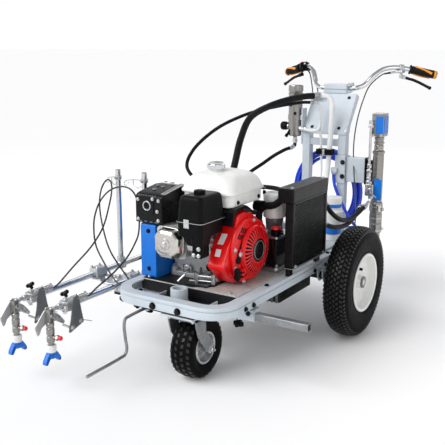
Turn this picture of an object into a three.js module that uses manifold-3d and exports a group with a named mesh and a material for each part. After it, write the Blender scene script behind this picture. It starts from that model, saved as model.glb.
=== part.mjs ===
// A walk-behind line striping machine: a three-wheeled frame with an engine-driven hydraulic
// paint pump, a mast with handlebars, and two airless spray guns carried on a side beam.
// Millimetres, +Z up, the front of the machine faces -Y and the operator's left is +X.
import * as THREE from "three";
import { mergeVertices } from "three/addons/utils/BufferGeometryUtils.js";
import Module from "manifold-3d";

const wasm = await Module();
wasm.setup();

// ---- driving dimensions -------------------------------------------------------------------
const GAP = 0.3;
const ORIGIN = { x: -19.5, y: -118.9 };

const WHEEL = { radius: 205, width: 92, trackHalf: 330, segments: 24 };
const AXLE_RADIUS = 11;
const CASTER = { radius: 104.6, width: 84, x: 48, y: -623, kingpinY: -668, segments: 20 };

const DECK = { top: 285, bottom: 245, half: 222, rail: 38, front: -740, rear: 445, corner: 100 };
const PLATE = { top: 291, half: 200, front: -600, rear: 240 };
const TANK_UNDER = { half: 205, front: -362, rear: -115, bottom: 198 };

const BEAM = { y: -555, z: 220, half: 12.5, left: 416, right: -340, sleeveHalf: 16 };
const KNOB_X = 165;
const BAR_RADIUS = 11;
const BAR_Z = 256;
const GUNS = [
  { side: "outer", x: -427, barRear: -270, poleY: -430, poleTop: 614 },
  { side: "inner", x: -274, barRear: -400, poleY: -470, poleTop: 622 },
];
const BAR_FRONT = -885;
const POINTER = { x: -94, z: 230 };

const CRANK = { y: -422, z: 396 };
const PUMP_SHAFT_Y = -250;
const SWITCH = { y: -512, z: 400 };
const FUEL_NECK_Y = -432;
const AIR_STUD = { x: 40, y: -588 };
const BELT_COVER = { x0: -200, x1: -137, front: -590, rear: -190, top: 476, wall: 3 };
const FUEL = { x0: -96, x1: 108, front: -507, rear: -290, bottom: 540, lip: 582, top: 650 };
const AIR = { x0: -6, x1: 88, front: -652, rear: -513, bottom: 438, seam: 516, top: 600 };
const MUFFLER = { x0: -213, x1: -104, front: -597, rear: -445, bottom: 480, top: 580 };
const COOLER = { x0: 207, x1: 238, front: -328, rear: -63, bottom: 317, top: 592 };
const OIL_BOX = { x0: 70, x1: 170, front: -310, rear: -190, top: 415 };
const FILTER_CAN = { x: 118, y: -238, radius: 40, bottom: 468, top: 556 };

const MAST = { inner: 65, outer: 100, front: 405, rear: 442, top: 690 };
const PLATE_TOP = { y: 507, z: 856 };
const BAR_CENTRE = { y: 532, z: 875 };
const GRIP_INNER = { x: 254.7, y: 685.3, z: 954.7 };
const GRIP_OUTER = { x: 355.6, y: 745.5, z: 930.2 };
const PAINT_PUMP = { x: 243, y: 415, bottom: 262, top: 787 };
const PAINT_FILTER = { x: -144, y: 420, radius: 30, bottom: 676, top: 889 };

// ---- materials ----------------------------------------------------------------------------
function finish(color, roughness, metalness) {
  return new THREE.MeshStandardMaterial({ color, roughness, metalness });
}
const FRAME_PAINT = finish(0xc3d0d8, 0.45, 0.1);
const DARK_STEEL = finish(0x3a3d40, 0.45, 0.6);
const BLACK_PAINT = finish(0x111214, 0.5, 0.1);
const ZINC = finish(0xb9bec2, 0.35, 0.9);
const CHROME = finish(0xd9dcdf, 0.15, 1.0);
const STAINLESS = finish(0xa9a49c, 0.3, 1.0);
const CAST_ALLOY = finish(0xb8babb, 0.5, 0.8);
const RED_PAINT = finish(0xc8100e, 0.35, 0.0);
const WHITE_PAINT = finish(0xf2f1ee, 0.35, 0.0);
const BLUE_PAINT = finish(0x1660c0, 0.4, 0.0);
const RUBBER = finish(0x141414, 0.85, 0.0);
const BLUE_HOSE = finish(0x1744d6, 0.5, 0.0);

// ---- shape helpers ------------------------------------------------------------------------
const AXIS = {
  x: new THREE.Vector3(1, 0, 0),
  y: new THREE.Vector3(0, 1, 0),
  z: new THREE.Vector3(0, 0, 1),
};

// Welds a geometry, drops its flat triangles and turns its faces outwards.
function closed(geometry) {
  const bare = geometry.clone();
  bare.deleteAttribute("normal");
  bare.deleteAttribute("uv");
  const welded = mergeVertices(bare, 1e-3);
  const place = welded.attributes.position;
  const corner = (i) => new THREE.Vector3().fromBufferAttribute(place, i);
  const kept = [];
  let volume = 0;
  for (let i = 0; i < welded.index.count; i += 3) {
    const [a, b, c] = [0, 1, 2].map((k) => welded.index.getX(i + k));
    if (a === b || b === c || c === a) continue;
    volume += corner(a).dot(corner(b).cross(corner(c)));
    kept.push(a, b, c);
  }
  if (volume < 0) kept.reverse();
  const result = new THREE.BufferGeometry();
  result.setAttribute("position", place);
  result.setIndex(kept);
  return result;
}

function toSolid(geometry) {
  const shell = closed(geometry);
  const vertProperties = new Float32Array(shell.attributes.position.array);
  const triVerts = new Uint32Array(shell.index.array);
  return new wasm.Manifold(new wasm.Mesh({ numProp: 3, vertProperties, triVerts }));
}

function fromSolid(solid) {
  const mesh = solid.getMesh();
  const result = new THREE.BufferGeometry();
  result.setAttribute("position", new THREE.BufferAttribute(mesh.vertProperties, 3));
  result.setIndex(new THREE.BufferAttribute(mesh.triVerts, 1));
  return result;
}

function join(...pieces) {
  return fromSolid(pieces.map(toSolid).reduce((whole, piece) => whole.add(piece)));
}

function cut(body, ...tools) {
  return fromSolid(tools.map(toSolid).reduce((left, tool) => left.subtract(tool), toSolid(body)));
}

function block(x0, x1, y0, y1, z0, z1) {
  const box = new THREE.BoxGeometry(x1 - x0, y1 - y0, z1 - z0);
  return box.translate((x0 + x1) / 2, (y0 + y1) / 2, (z0 + z1) / 2);
}

function polygon(points) {
  return new THREE.Shape(points.map(([u, v]) => new THREE.Vector2(u, v)));
}

function roundedRectangle(u0, u1, v0, v1, r) {
  const shape = new THREE.Shape();
  shape.moveTo(u0 + r, v0);
  shape.absarc(u1 - r, v0 + r, r, -Math.PI / 2, 0);
  shape.absarc(u1 - r, v1 - r, r, 0, Math.PI / 2);
  shape.absarc(u0 + r, v1 - r, r, Math.PI / 2, Math.PI);
  shape.absarc(u0 + r, v0 + r, r, Math.PI, Math.PI * 1.5);
  return shape;
}

// Extrudes an outline drawn in a plane: "xy" runs along Z, "yz" along X and "xz" along Y.
function slab(shape, plane, from, to, curveSegments = 4) {
  const depth = to - from;
  const body = new THREE.ExtrudeGeometry(shape, { depth, bevelEnabled: false, curveSegments });
  const turn = new THREE.Matrix4();
  if (plane === "yz") turn.makeBasis(AXIS.y, AXIS.z, AXIS.x).setPosition(from, 0, 0);
  if (plane === "xz") turn.makeBasis(AXIS.x, AXIS.z, AXIS.y.clone().negate()).setPosition(0, to, 0);
  if (plane === "xy") turn.setPosition(0, 0, from);
  return body.applyMatrix4(turn);
}

// Turns a profile of [radius, height] pairs about an axis through a centre.
function turned(profile, axis, centre, segments = 16) {
  const outline = profile.map(([r, h]) => new THREE.Vector2(r, h));
  const body = new THREE.LatheGeometry(outline, segments);
  if (axis === "x") body.rotateZ(-Math.PI / 2);
  if (axis === "z") body.rotateX(Math.PI / 2);
  return body.translate(...centre);
}

// A ring or sleeve: its section is a rectangle between two radii.
function sleeve(inner, outer, from, to, axis, centre, segments = 16) {
  const section = [[inner, from], [outer, from], [outer, to], [inner, to], [inner, from]];
  return turned(section, axis, centre, segments);
}

function rod(radius, from, to, axis, centre, segments = 12) {
  return turned([[0, from], [radius, from], [radius, to], [0, to]], axis, centre, segments);
}

// A straight round bar between two points.
function strut(radius, start, end, segments = 8) {
  const a = new THREE.Vector3(...start);
  const b = new THREE.Vector3(...end);
  const span = b.clone().sub(a);
  const bar = new THREE.CylinderGeometry(radius, radius, span.length(), segments);
  bar.applyQuaternion(new THREE.Quaternion().setFromUnitVectors(AXIS.y, span.normalize()));
  const middle = a.add(b).multiplyScalar(0.5);
  return bar.translate(middle.x, middle.y, middle.z);
}

function circleShape(radius, sides) {
  const corners = [];
  for (let i = 0; i < sides; i += 1) {
    const turn = (i / sides) * 2 * Math.PI;
    corners.push([radius * Math.cos(turn), radius * Math.sin(turn)]);
  }
  return polygon(corners);
}

// A round bar, pipe or hose along a smooth curve through its points.
function tube(points, radius, steps, sides = 8) {
  const extrudePath = new THREE.CatmullRomCurve3(points.map((p) => new THREE.Vector3(...p)));
  const section = circleShape(radius, sides);
  return new THREE.ExtrudeGeometry(section, { steps, extrudePath, bevelEnabled: false });
}

const machine = new THREE.Group();
machine.position.set(-ORIGIN.x, -ORIGIN.y, 0);

function add(name, geometry, material) {
  const mesh = new THREE.Mesh(closed(geometry), material);
  mesh.name = name;
  machine.add(mesh);
}

// ---- frame --------------------------------------------------------------------------------
function deckFrame() {
  const { half, rail, front, rear, corner, top, bottom } = DECK;
  const outline = roundedRectangle(-half, half, front, rear, corner);
  const inner = half - rail;
  outline.holes.push(roundedRectangle(-inner, inner, front + rail, rear - rail, corner - rail));
  const ring = slab(outline, "xy", bottom, top, 5);
  const crossbars = [[-600, -565], [-300, -265], [205, 240]].map(([y0, y1]) => {
    return block(-inner - 4, inner + 4, y0, y1, bottom + 5, top);
  });
  return join(ring, ...crossbars);
}

// The nose plate is bolted under the front rail. It carries the accessory socket, the caster's
// race and the guide rod's holder.
function nosePlate() {
  const { front, bottom } = DECK;
  const under = bottom - 6;
  const plate = block(-90, 115, front + 6, -592, under, bottom - GAP);
  const socket = sleeve(20, 28, under + 1, 300, "z", [0, -650, 0], 16);
  const race = sleeve(9, 44, 226, under + 1, "z", [CASTER.x, CASTER.kingpinY, 0], 16);
  const bore = rod(20, bottom - 20, 310, "z", [0, -650, 0], 16);
  const holder = block(-106, -82, -700, -670, 221, under + 1);
  const holderBore = rod(5.8, -710, -660, "y", [POINTER.x, 0, POINTER.z], 12);
  return join(cut(join(plate, socket, holder), bore, holderBore), race);
}

function deckPlate() {
  return block(-PLATE.half, PLATE.half, PLATE.front, PLATE.rear, DECK.top + GAP, PLATE.top);
}

function underTank() {
  const { half, front, rear, bottom } = TANK_UNDER;
  return block(-half, half, front, rear, bottom, DECK.bottom - GAP);
}

function rearAxle() {
  const shaft = rod(AXLE_RADIUS, -356, 356, "x", [0, 0, WHEEL.radius], 16);
  const hangers = [-1, 1].map((side) => {
    const edges = [186 * side, 214 * side].sort((a, b) => a - b);
    return block(edges[0], edges[1], -30, 30, 182, DECK.bottom - GAP);
  });
  return join(shaft, ...hangers);
}

function beamSleeve() {
  const { y, z, sleeveHalf: s } = BEAM;
  const tubeOuter = block(-235, 232, y - s, y + s, z - s, z + s);
  const hangers = [[-230, -200], [200, 230]].map(([x0, x1]) => {
    return block(x0, x1, y - 25, y + 25, z + s - 1, DECK.bottom - GAP);
  });
  const open = BEAM.half + 0.4;
  const passage = block(-300, 300, y - open, y + open, z - open, z + open);
  return cut(join(tubeOuter, ...hangers), passage);
}

function mastFrame() {
  const { inner, outer, front, rear, top } = MAST;
  const foot = DECK.top + GAP;
  const posts = [[-outer, -inner], [inner, outer]].map(([x0, x1]) => {
    return block(x0, x1, front, rear, foot, top);
  });
  const sole = block(-outer - 20, outer + 20, front, DECK.rear - 2, foot, foot + 8);
  const crossbar = block(-inner - 2, inner + 2, front + 4, rear - 4, 640, 668);
  const pumpBox = block(outer - 2, 190, 408, 448, 494, 598);
  const pumpArm = block(188, 218, 411, 431, 500, 592);
  const filterPlate = block(-outer - 7, -outer - GAP, front - 3, rear + 2, 640, 792);
  const filterWeld = block(-outer - 1, -outer + 1, front + 2, rear - 2, 642, top - 4);
  const hoseLug = block(44, inner + 6, front - 17, front + 2, 532, 552);
  return join(...posts, sole, crossbar, pumpBox, pumpArm, filterPlate, filterWeld, hoseLug);
}

function mastPlate() {
  const { front, top } = MAST;
  const face = [
    [front - 4, top + GAP], [front + 6, top + GAP], [PLATE_TOP.y + 9, PLATE_TOP.z - 2],
    [PLATE_TOP.y, PLATE_TOP.z],
  ];
  const sheet = slab(polygon(face), "yz", -96, 96);
  const flangeOutline = [
    [front - 4, top + GAP], [front + 34, top + GAP], [PLATE_TOP.y + 34, PLATE_TOP.z - 20],
    [PLATE_TOP.y, PLATE_TOP.z],
  ];
  const flanges = [[-100, -95], [95, 100]].map(([x0, x1]) => {
    return slab(polygon(flangeOutline), "yz", x0, x1);
  });
  const clampBox = block(-54, 54, 501, 563, 853, 893);
  const channel = rod(12.4, -60, 60, "x", [0, BAR_CENTRE.y, BAR_CENTRE.z], 12);
  return cut(join(sheet, ...flanges, clampBox), channel);
}

// ---- handlebars ---------------------------------------------------------------------------
const gripStart = (side) => [side * GRIP_INNER.x, GRIP_INNER.y, GRIP_INNER.z];
const gripEnd = (side) => [side * GRIP_OUTER.x, GRIP_OUTER.y, GRIP_OUTER.z];

function handlebar() {
  const bend = [
    [0, 532, 875], [40, 532, 875], [62, 532, 875], [82, 536, 877], [112, 556, 890], [140, 588, 928],
    [165, 618, 953], [200, 648, 962], [235, 673, 959], [255, 685.3, 954.6],
  ];
  const mirrored = bend.slice(1).reverse().map(([x, y, z]) => [-x, y, z]);
  const bar = tube([...mirrored, ...bend], 11, 30, 8);
  const core = [-1, 1].map((side) => strut(11, gripStart(side), gripEnd(side), 8));
  const perch = block(208, 244, 646, 690, 938, 966);
  const cluster = block(-248, -196, 644, 692, 934, 975);
  const lugs = [1, -1].map((side) => rod(9, 934, 940, "z", [side * 236, 656, 0], 10));
  return join(bar, ...core, perch, cluster, ...lugs);
}

function grip(side) {
  const start = new THREE.Vector3(...gripStart(side));
  const end = new THREE.Vector3(...gripEnd(side));
  const along = end.clone().sub(start).normalize();
  const length = start.distanceTo(end);
  const section = [
    [11.4, 6], [20, 6], [20, 11], [16.5, 14], [17.5, length - 10], [17, length + 4],
    [0, length + 6], [0, length + GAP], [11.4, length + GAP], [11.4, 6],
  ];
  const outline = section.map(([r, h]) => new THREE.Vector2(r, h));
  const body = new THREE.LatheGeometry(outline.reverse(), 14);
  body.applyQuaternion(new THREE.Quaternion().setFromUnitVectors(AXIS.y, along));
  return body.translate(start.x, start.y, start.z);
}

// A hand lever: its pivot sits under the bar and its blade runs out below the grip.
function handLever(side) {
  const path = [
    [side * 236, 656, 924], [side * 262, 668, 916], [side * 300, 684, 902],
    [side * 346, 705, 877],
  ];
  const blade = tube(path, 5, 8, 6);
  const ball = new THREE.SphereGeometry(8, 6, 5).translate(side * 346, 705, 877);
  const eye = rod(9, -6, 6, "z", [side * 236, 656, 924], 10);
  return join(blade, ball, eye);
}

// ---- wheels -------------------------------------------------------------------------------
function rearRim(side) {
  const section = [
    [11.4, -30], [24, -30], [26, -2], [94, 0], [97, -43], [109, -43], [109, -38.5],
    [101, -38], [101, 38], [109, 38.5], [109, 43], [97, 43], [92, 10], [24, 6],
    [21, 18], [11.4, 18], [11.4, -30],
  ];
  const placed = section.map(([r, a]) => [r, a * side]);
  return turned(placed, "x", [side * WHEEL.trackHalf, 0, WHEEL.radius], WHEEL.segments);
}

function rearTyre(side) {
  const half = WHEEL.width / 2;
  const section = [
    [101.4, -37.8], [118, -37.8], [150, -half], [182, -half + 1], [199, -34], [205, -16],
    [205, 16], [199, 34], [182, half - 1], [150, half], [118, 37.8], [101.4, 37.8],
    [101.4, -37.8],
  ];
  return turned(section, "x", [side * WHEEL.trackHalf, 0, WHEEL.radius], WHEEL.segments);
}

function casterFork() {
  const crown = rod(40, 214, 225.7, "z", [CASTER.x, CASTER.kingpinY, 0], 16);
  const kingpin = rod(8, 225, 238, "z", [CASTER.x, CASTER.kingpinY, 0], 12);
  const legOutline = [
    [-704, 214], [-704, 205], [-690, 160], [-636, 92], [-616, 88], [-604, 100], [-606, 122],
    [-648, 178], [-650, 214],
  ];
  const legs = [-55, 50].map((offset) => {
    return slab(polygon(legOutline), "yz", CASTER.x + offset, CASTER.x + offset + 5);
  });
  const bridge = block(CASTER.x - 55, CASTER.x + 55, -704, -650, 213, 219);
  const bolt = rod(6, -66, 66, "x", [CASTER.x, CASTER.y, CASTER.radius], 12);
  const heads = [-66, 55].map((offset) => {
    return rod(11, offset, offset + 11, "x", [CASTER.x, CASTER.y, CASTER.radius], 6);
  });
  return join(crown, kingpin, ...legs, bridge, bolt, ...heads);
}

function casterRim() {
  const section = [
    [6.5, -44], [14, -44], [16, -10], [40, -6], [44, -36], [54, -36], [54, -32], [50, -31],
    [50, 31], [54, 32], [54, 36], [44, 36], [40, 6], [16, 10], [14, 44], [6.5, 44], [6.5, -44],
  ];
  return turned(section, "x", [CASTER.x, CASTER.y, CASTER.radius], CASTER.segments);
}

function casterTyre() {
  const half = CASTER.width / 2;
  const section = [
    [50.4, -30.6], [58, -30.6], [74, -half], [90, -half + 2], [100, -30], [104.6, -12],
    [104.6, 12], [100, 30], [90, half - 2], [74, half], [58, 30.6], [50.4, 30.6],
    [50.4, -30.6],
  ];
  return turned(section, "x", [CASTER.x, CASTER.y, CASTER.radius], CASTER.segments);
}

// ---- engine -------------------------------------------------------------------------------
function engineBlock() {
  const floor = PLATE.top + GAP;
  const crankcase = block(-128, 57, -505, -335, floor, 452);
  const feet = block(-132, 62, -525, -315, floor, 301);
  const barrel = block(-112, -14, -606, -500, 384, 472);
  const fins = [0, 1, 2, 3, 4].map((i) => {
    const y = -596 + i * 19;
    return block(-126, -8, y, y + 5, 376, 479);
  });
  const tankPosts = [[-80, -60], [40, 56]].map(([x0, x1]) => {
    return block(x0, x1, -420, -395, 450, FUEL.bottom - GAP);
  });
  const carburettor = block(4, 44, -600, -500, 396, AIR.bottom - GAP);
  const exhaust = block(-124, -106, -500, -470, 440, MUFFLER.bottom - GAP);
  const shaftHole = rod(10.6, -150, 80, "x", [0, CRANK.y, CRANK.z], 14);
  const whole = join(crankcase, feet, barrel, ...fins, ...tankPosts, carburettor, exhaust);
  return cut(whole, shaftHole);
}

function valveCover() {
  const outline = [
    [-112, 402], [-90, 380], [-34, 380], [-10, 404], [-8, 452], [-30, 480], [-86, 482],
    [-114, 458],
  ];
  const cover = slab(polygon(outline), "xz", -640, -606 - GAP);
  const boss = rod(11, -646, -635, "y", [-62, 0, 432], 8);
  return join(cover, boss);
}

// The fan shroud wraps the flywheel and carries the round slotted recoil cover.
function fanShroud() {
  const outline = new THREE.Shape();
  outline.moveTo(-520, 302);
  outline.lineTo(-586, 364);
  outline.lineTo(-556, 428);
  outline.lineTo(-516, 470);
  outline.lineTo(-498, 522);
  outline.lineTo(-440, 528);
  outline.lineTo(-376, 494);
  outline.absarc(CRANK.y, CRANK.z, 104, Math.PI / 3, -Math.PI * 0.6, true);
  const housing = slab(outline, "yz", 62.5, 135, 7);
  const chamfered = turned(
    [[0, 134], [78, 134], [74, 150], [64, 160], [34, 165], [0, 165]],
    "x", [0, CRANK.y, CRANK.z], 20,
  );
  const pocket = turned(
    [[0, 60], [97, 60], [97, 128], [66, 128], [66, 148], [56, 158], [0, 158]],
    "x", [0, CRANK.y, CRANK.z], 16,
  );
  const slots = [];
  const slotCount = 12;
  for (let i = 0; i < slotCount; i += 1) {
    const slot = block(150, 172, -2.5, 2.5, 36, 62);
    slot.rotateX((i / slotCount) * 2 * Math.PI);
    slots.push(slot.translate(0, CRANK.y, CRANK.z));
  }
  const spout = block(128, 166, -511, -492, 326, 354);
  return join(cut(join(housing, chamfered), pocket, ...slots), spout);
}

function crankshaft() {
  const section = [
    [0, -180], [38, -180], [38, -176], [31, -168], [31, -162], [38, -154], [38, -150], [10, -150],
    [10, 68], [88, 70], [88, 92], [40, 96], [24, 100], [24, 138], [0, 138],
  ];
  return turned(section, "x", [0, CRANK.y, CRANK.z], 16);
}

function recoilHandle() {
  const shank = block(146, 156, -532, -512, 335, 345);
  const bar = block(141, 161, -548, -530, 318, 362);
  return join(shank, bar);
}

function engineSwitch() {
  const { y, z } = SWITCH;
  const boss = rod(8, 0, 8, "x", [135 + GAP, y, z], 10);
  const lever = block(138, 144, y - 4, y + 4, z - 2, z + 17);
  return join(boss, lever);
}

function fuelTank() {
  const { x0, x1, front, rear, bottom, lip, top } = FUEL;
  const layer = (inset, radius, from, to) => {
    const outline = roundedRectangle(x0 + inset, x1 - inset, front + inset, rear - inset, radius);
    return slab(outline, "xy", from, to, 3);
  };
  const lower = layer(4, 26, bottom, lip + 1);
  const flange = layer(-4, 30, lip, lip + 8);
  const upper = layer(1, 30, lip + 7, 612);
  const shoulder = layer(10, 34, 611, 634);
  const crown = layer(30, 40, 633, top);
  const neck = rod(22, top - 4, 656, "z", [0, FUEL_NECK_Y, 0], 16);
  return join(lower, flange, upper, shoulder, crown, neck);
}

function fuelCap() {
  return turned(
    [[0, 656 + GAP], [31, 656 + GAP], [31, 671], [27, 676], [0, 677]],
    "z", [0, FUEL_NECK_Y, 0], 20,
  );
}

function airCleanerBase() {
  const { x0, x1, front, rear, bottom, seam } = AIR;
  const upper = slab(roundedRectangle(x0, x1, front, rear - 8, 14), "xy", 470, seam - GAP, 3);
  const duct = roundedRectangle(x0 + 12, x1 - 28, front + 10, rear - 20, 10);
  const lower = slab(duct, "xy", bottom, 471, 3);
  const elbow = block(46, 80, front + 8, -592, 404, 471);
  return join(upper, lower, elbow);
}

function airCleanerCover() {
  const { x0, x1, front, rear, seam, top } = AIR;
  const skirt = slab(roundedRectangle(x0 - 3, x1 + 3, front - 3, rear + 3, 15), "xy", seam, 524, 3);
  const wall = slab(roundedRectangle(x0, x1, front, rear, 15), "xy", 523, top - 14, 3);
  const crown = slab(roundedRectangle(x0 + 7, x1 - 7, front + 7, rear - 7, 14), "xy", top - 15, top, 3);
  const stud = rod(4, top - 2, top + 6, "z", [AIR_STUD.x, AIR_STUD.y, 0], 8);
  return join(skirt, wall, crown, stud);
}

function airCleanerNut() {
  const hub = sleeve(4.5, 13, AIR.top + GAP, AIR.top + 11, "z", [AIR_STUD.x, AIR_STUD.y, 0], 12);
  const wings = [0, 1, 2, 3, 4, 5].map((i) => {
    const lobe = block(9, 19, -3.5, 3.5, AIR.top + GAP, AIR.top + 10);
    return lobe.rotateZ((i / 6) * 2 * Math.PI).translate(AIR_STUD.x, AIR_STUD.y, 0);
  });
  return join(hub, ...wings);
}

function muffler() {
  const { x0, x1, front, rear, bottom, top } = MUFFLER;
  const outline = [
    [front, bottom], [rear, bottom], [rear, top + 8], [rear - 40, top + 14], [front + 14, top],
    [front, top - 12],
  ];
  const box = slab(polygon(outline), "yz", x0, x1);
  const outlet = rod(17, front - 4, front + 10, "y", [(x0 + x1) / 2 - 4, 0, 540], 16);
  const mouth = rod(13, front - 10, front + 60, "y", [(x0 + x1) / 2 - 4, 0, 540], 16);
  return cut(join(box, outlet), mouth);
}

// ---- belt drive and hydraulics ------------------------------------------------------------
function beltCover() {
  const { x0, x1, front, rear, top, wall } = BELT_COVER;
  const outer = block(x0, x1, front, rear, PLATE.top + GAP, top);
  const inner = block(x0 + wall, x1 - wall, front + wall, rear - wall, PLATE.top + 4, top - wall);
  const shaftHole = rod(14, x1 - 10, x1 + 10, "x", [0, CRANK.y, CRANK.z], 12);
  const pumpHole = rod(14, x1 - 10, x1 + 10, "x", [0, PUMP_SHAFT_Y, CRANK.z], 12);
  return cut(outer, inner, shaftHole, pumpHole);
}

function drivenPulley() {
  const section = [
    [0, -180], [30, -180], [30, -176], [23, -168], [23, -162], [30, -154], [30, -150], [8, -150],
    [8, -110], [0, -110],
  ];
  return turned(section, "x", [0, PUMP_SHAFT_Y, CRANK.z], 16);
}

function hydraulicPump() {
  const body = block(-134, -48, -290, -210, 350, 442);
  const foot = block(-126, -60, -300, -200, PLATE.top + GAP, 351);
  const shaftHole = rod(8.5, -140, -108, "x", [0, PUMP_SHAFT_Y, CRANK.z], 12);
  return cut(join(body, foot), shaftHole);
}

function oilCooler() {
  const { x0, x1, front, rear, bottom, top } = COOLER;
  const core = block(x0, x1, front, rear, bottom, 545);
  const header = block(178, x1 + 1, front - 3, rear + 3, 540, top);
  const feet = [[front + 8, front + 40], [rear - 40, rear - 8]].map(([y0, y1]) => {
    return block(x0, 220, y0, y1, DECK.top + GAP, bottom + 2);
  });
  return join(core, header, ...feet);
}

function oilTank() {
  const { x0, x1, front, rear, top } = OIL_BOX;
  const body = block(x0, x1 - 6, front + 4, rear, PLATE.top + GAP, top - 5);
  const lid = block(x0 - 4, x1, front, rear + 4, top - 6, top);
  return join(body, lid);
}

function oilFilter() {
  const { x, y, radius, bottom, top } = FILTER_CAN;
  const section = [
    [0, OIL_BOX.top + GAP], [30, OIL_BOX.top + GAP], [32, 450], [30, bottom], [radius, bottom + 2],
    [radius, top - 8], [radius - 8, top], [0, top],
  ];
  return turned(section, "z", [x, y, 0], 18);
}

function breatherCap() {
  const from = OIL_BOX.top + GAP;
  return turned([[0, from], [17, from], [18, 440], [15, 448], [0, 448]], "z", [153, -290, 0], 14);
}

// ---- paint side ---------------------------------------------------------------------------
function paintPump() {
  const { x, y, bottom, top } = PAINT_PUMP;
  const column = turned(
    [
      [0, bottom], [20, bottom], [20, 292], [26, 294], [26, 420], [22, 424], [22, 623], [25, 625],
      [25, 633], [19, 637], [19, 660], [17, 662], [17, 700], [0, 700],
    ],
    "z", [x, y, 0], 16,
  );
  const head = block(x - 26, x + 26, y - 26, y + 26, 694, top);
  const manifold = block(x - 34, x + 2, y - 52, y - 14, 452, 500);
  const riser = strut(6, [x - 24, y - 36, 498], [x - 24, y - 36, 756], 10);
  const topElbow = strut(7, [x - 24, y - 38, 752], [x - 24, y - 20, 752], 8);
  return join(column, head, manifold, riser, topElbow);
}

function manifoldLever() {
  const { x, y } = PAINT_PUMP;
  const hub = rod(8, y - 70, y - 52 - GAP, "y", [x - 10, 0, 478], 10);
  const arm = strut(4, [x - 10, y - 66, 478], [x + 22, y - 66, 452], 8);
  return join(hub, arm);
}

function paintFilter() {
  const { x, y, radius, bottom, top } = PAINT_FILTER;
  return turned(
    [
      [0, 640], [9, 640], [9, bottom - 6], [radius - 4, bottom - 4], [radius, bottom], [radius, 858],
      [radius + 2, 860], [radius + 2, top - 4], [radius, top], [0, top],
    ],
    "z", [x, y, 0], 20,
  );
}

function pressureKnob() {
  const { x, y, radius } = PAINT_FILTER;
  const near = x - radius - GAP;
  return turned(
    [[0, near], [9, near], [9, near - 8], [17, near - 10], [17, near - 34], [0, near - 36]],
    "x", [0, y, 712], 14,
  );
}

function supplyPipes() {
  const thick = tube(
    [
      [-7.6, 366.2, 850], [4, 373, 850], [26, 381, 846], [40, 384, 828], [43, 383, 790],
      [43, 382, 731], [33, 376, 519], [60, 290, 420], [98, 205, 350], [104, 200, PLATE.top + 10],
    ],
    11, 22, 8,
  );
  const thin = tube(
    [
      [-40, 372, 822], [-22, 376, 822], [-12, 380, 808], [-8, 382, 740], [4, 380, 529],
      [30, 290, 430], [60, 205, 350], [64, 200, PLATE.top + 10],
    ],
    5, 20, 6,
  );
  const clamp = block(-16, 56, 366, 396, 606, 630);
  const base = block(48, 120, 184, 216, PLATE.top + GAP, PLATE.top + 12);
  return join(thick, thin, clamp, base);
}

function suctionHose() {
  const route = [
    [-88, -225, 442.6], [-88, -225, 480], [-90, -205, 545], [-100, -150, 628],
    [-120, -75, 712], [-136, 20, 780], [-121, 150, 818], [-80, 240, 840], [-48, 318, 849],
    [-25, 356, 850], [-8.3, 365.8, 850],
  ];
  return tube(route, 13, 28, 8);
}

// ---- spray gun carriage -------------------------------------------------------------------
function gunBeam() {
  const { y, z, half, left, right } = BEAM;
  const bar = block(right, left, y - half, y + half, z - half, z + half);
  const open = 10;
  const mouth = block(left - 60, left + 10, y - open, y + open, z - open, z + open);
  return cut(bar, mouth);
}

function gunCarrier() {
  const { y, z, half } = BEAM;
  const saddle = block(-336, -292, y - 24, y + 24, z - 22, 242);
  const plateTop = 244;
  const outline = roundedRectangle(-455, -247, y - 34, y + 34, 30);
  const plate = slab(outline, "xy", 237, plateTop, 4);
  const disc = rod(52, 237, plateTop, "z", [-350, y, 0], 24);
  const clamps = GUNS.map(({ x }) => block(x - 19, x + 19, y - 28, y + 28, plateTop - 1, 278));
  const bores = GUNS.map(({ x }) => {
    return rod(BAR_RADIUS + 0.4, y - 40, y + 40, "y", [x, 0, BAR_Z], 12);
  });
  const open = half + 0.4;
  const passage = block(-400, -280, y - open, y + open, z - open, z + open);
  return cut(join(saddle, plate, disc, ...clamps), passage, ...bores);
}

function gunBar({ x, barRear, poleY, poleTop }) {
  const bar = rod(BAR_RADIUS, BAR_FRONT, barRear, "y", [x, 0, BAR_Z], 12);
  const foot = block(x - 14, x + 14, poleY - 16, poleY + 16, BAR_Z - 14, BAR_Z + 16);
  const pole = rod(10, BAR_Z, poleTop, "z", [x, poleY, 0], 10);
  const hookRing = rod(13, poleTop - 34, poleTop - 24, "z", [x, poleY, 0], 10);
  return join(bar, foot, pole, hookRing);
}

// The gun clamp, its bent sheet bracket and the gun itself are bolted into one unit.
function gunBody({ x }) {
  const clamp = block(x - 17, x + 17, -892, -845, 240, 274);
  const bore = rod(BAR_RADIUS + 0.4, BAR_FRONT - 0.5, -830, "y", [x, 0, BAR_Z], 12);
  const bracket = slab(
    polygon([[-858, 280], [-842, 280], [-826, 213], [-822, 190], [-888, 172], [-876, 214]]),
    "yz", x + 16, x + 20,
  );
  const arm = strut(7, [x, -890, 262], [x, -948, 262], 10);
  const facePlate = slab(
    polygon([[-943, 270], [-1000, 218], [-989, 186], [-976, 206], [-942, 226]]),
    "yz", x - 14, x - 10,
  );
  const yoke = block(x - 14, x + 9, -962, -938, 222, 268);
  const barrel = turned(
    [[0, 132], [9, 132], [9, 156], [13, 158], [13, 224], [0, 224]],
    "z", [x, -950, 0], 14,
  );
  const inlet = strut(7, [x, -950, 176], [x + 34, -944, 176], 8);
  const cableStop = block(x + 8, x + 20, -846, -800, 272, 276);
  const cableLug = block(x + 12, x + 20, -804, -800, 258, 276);
  const lugArm = block(x + 16, x + 20, -850, -838, 264, 276);
  const holder = join(clamp, bracket, arm, cableStop, cableLug, lugArm);
  return cut(join(holder, facePlate, yoke, barrel, inlet), bore);
}

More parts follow.
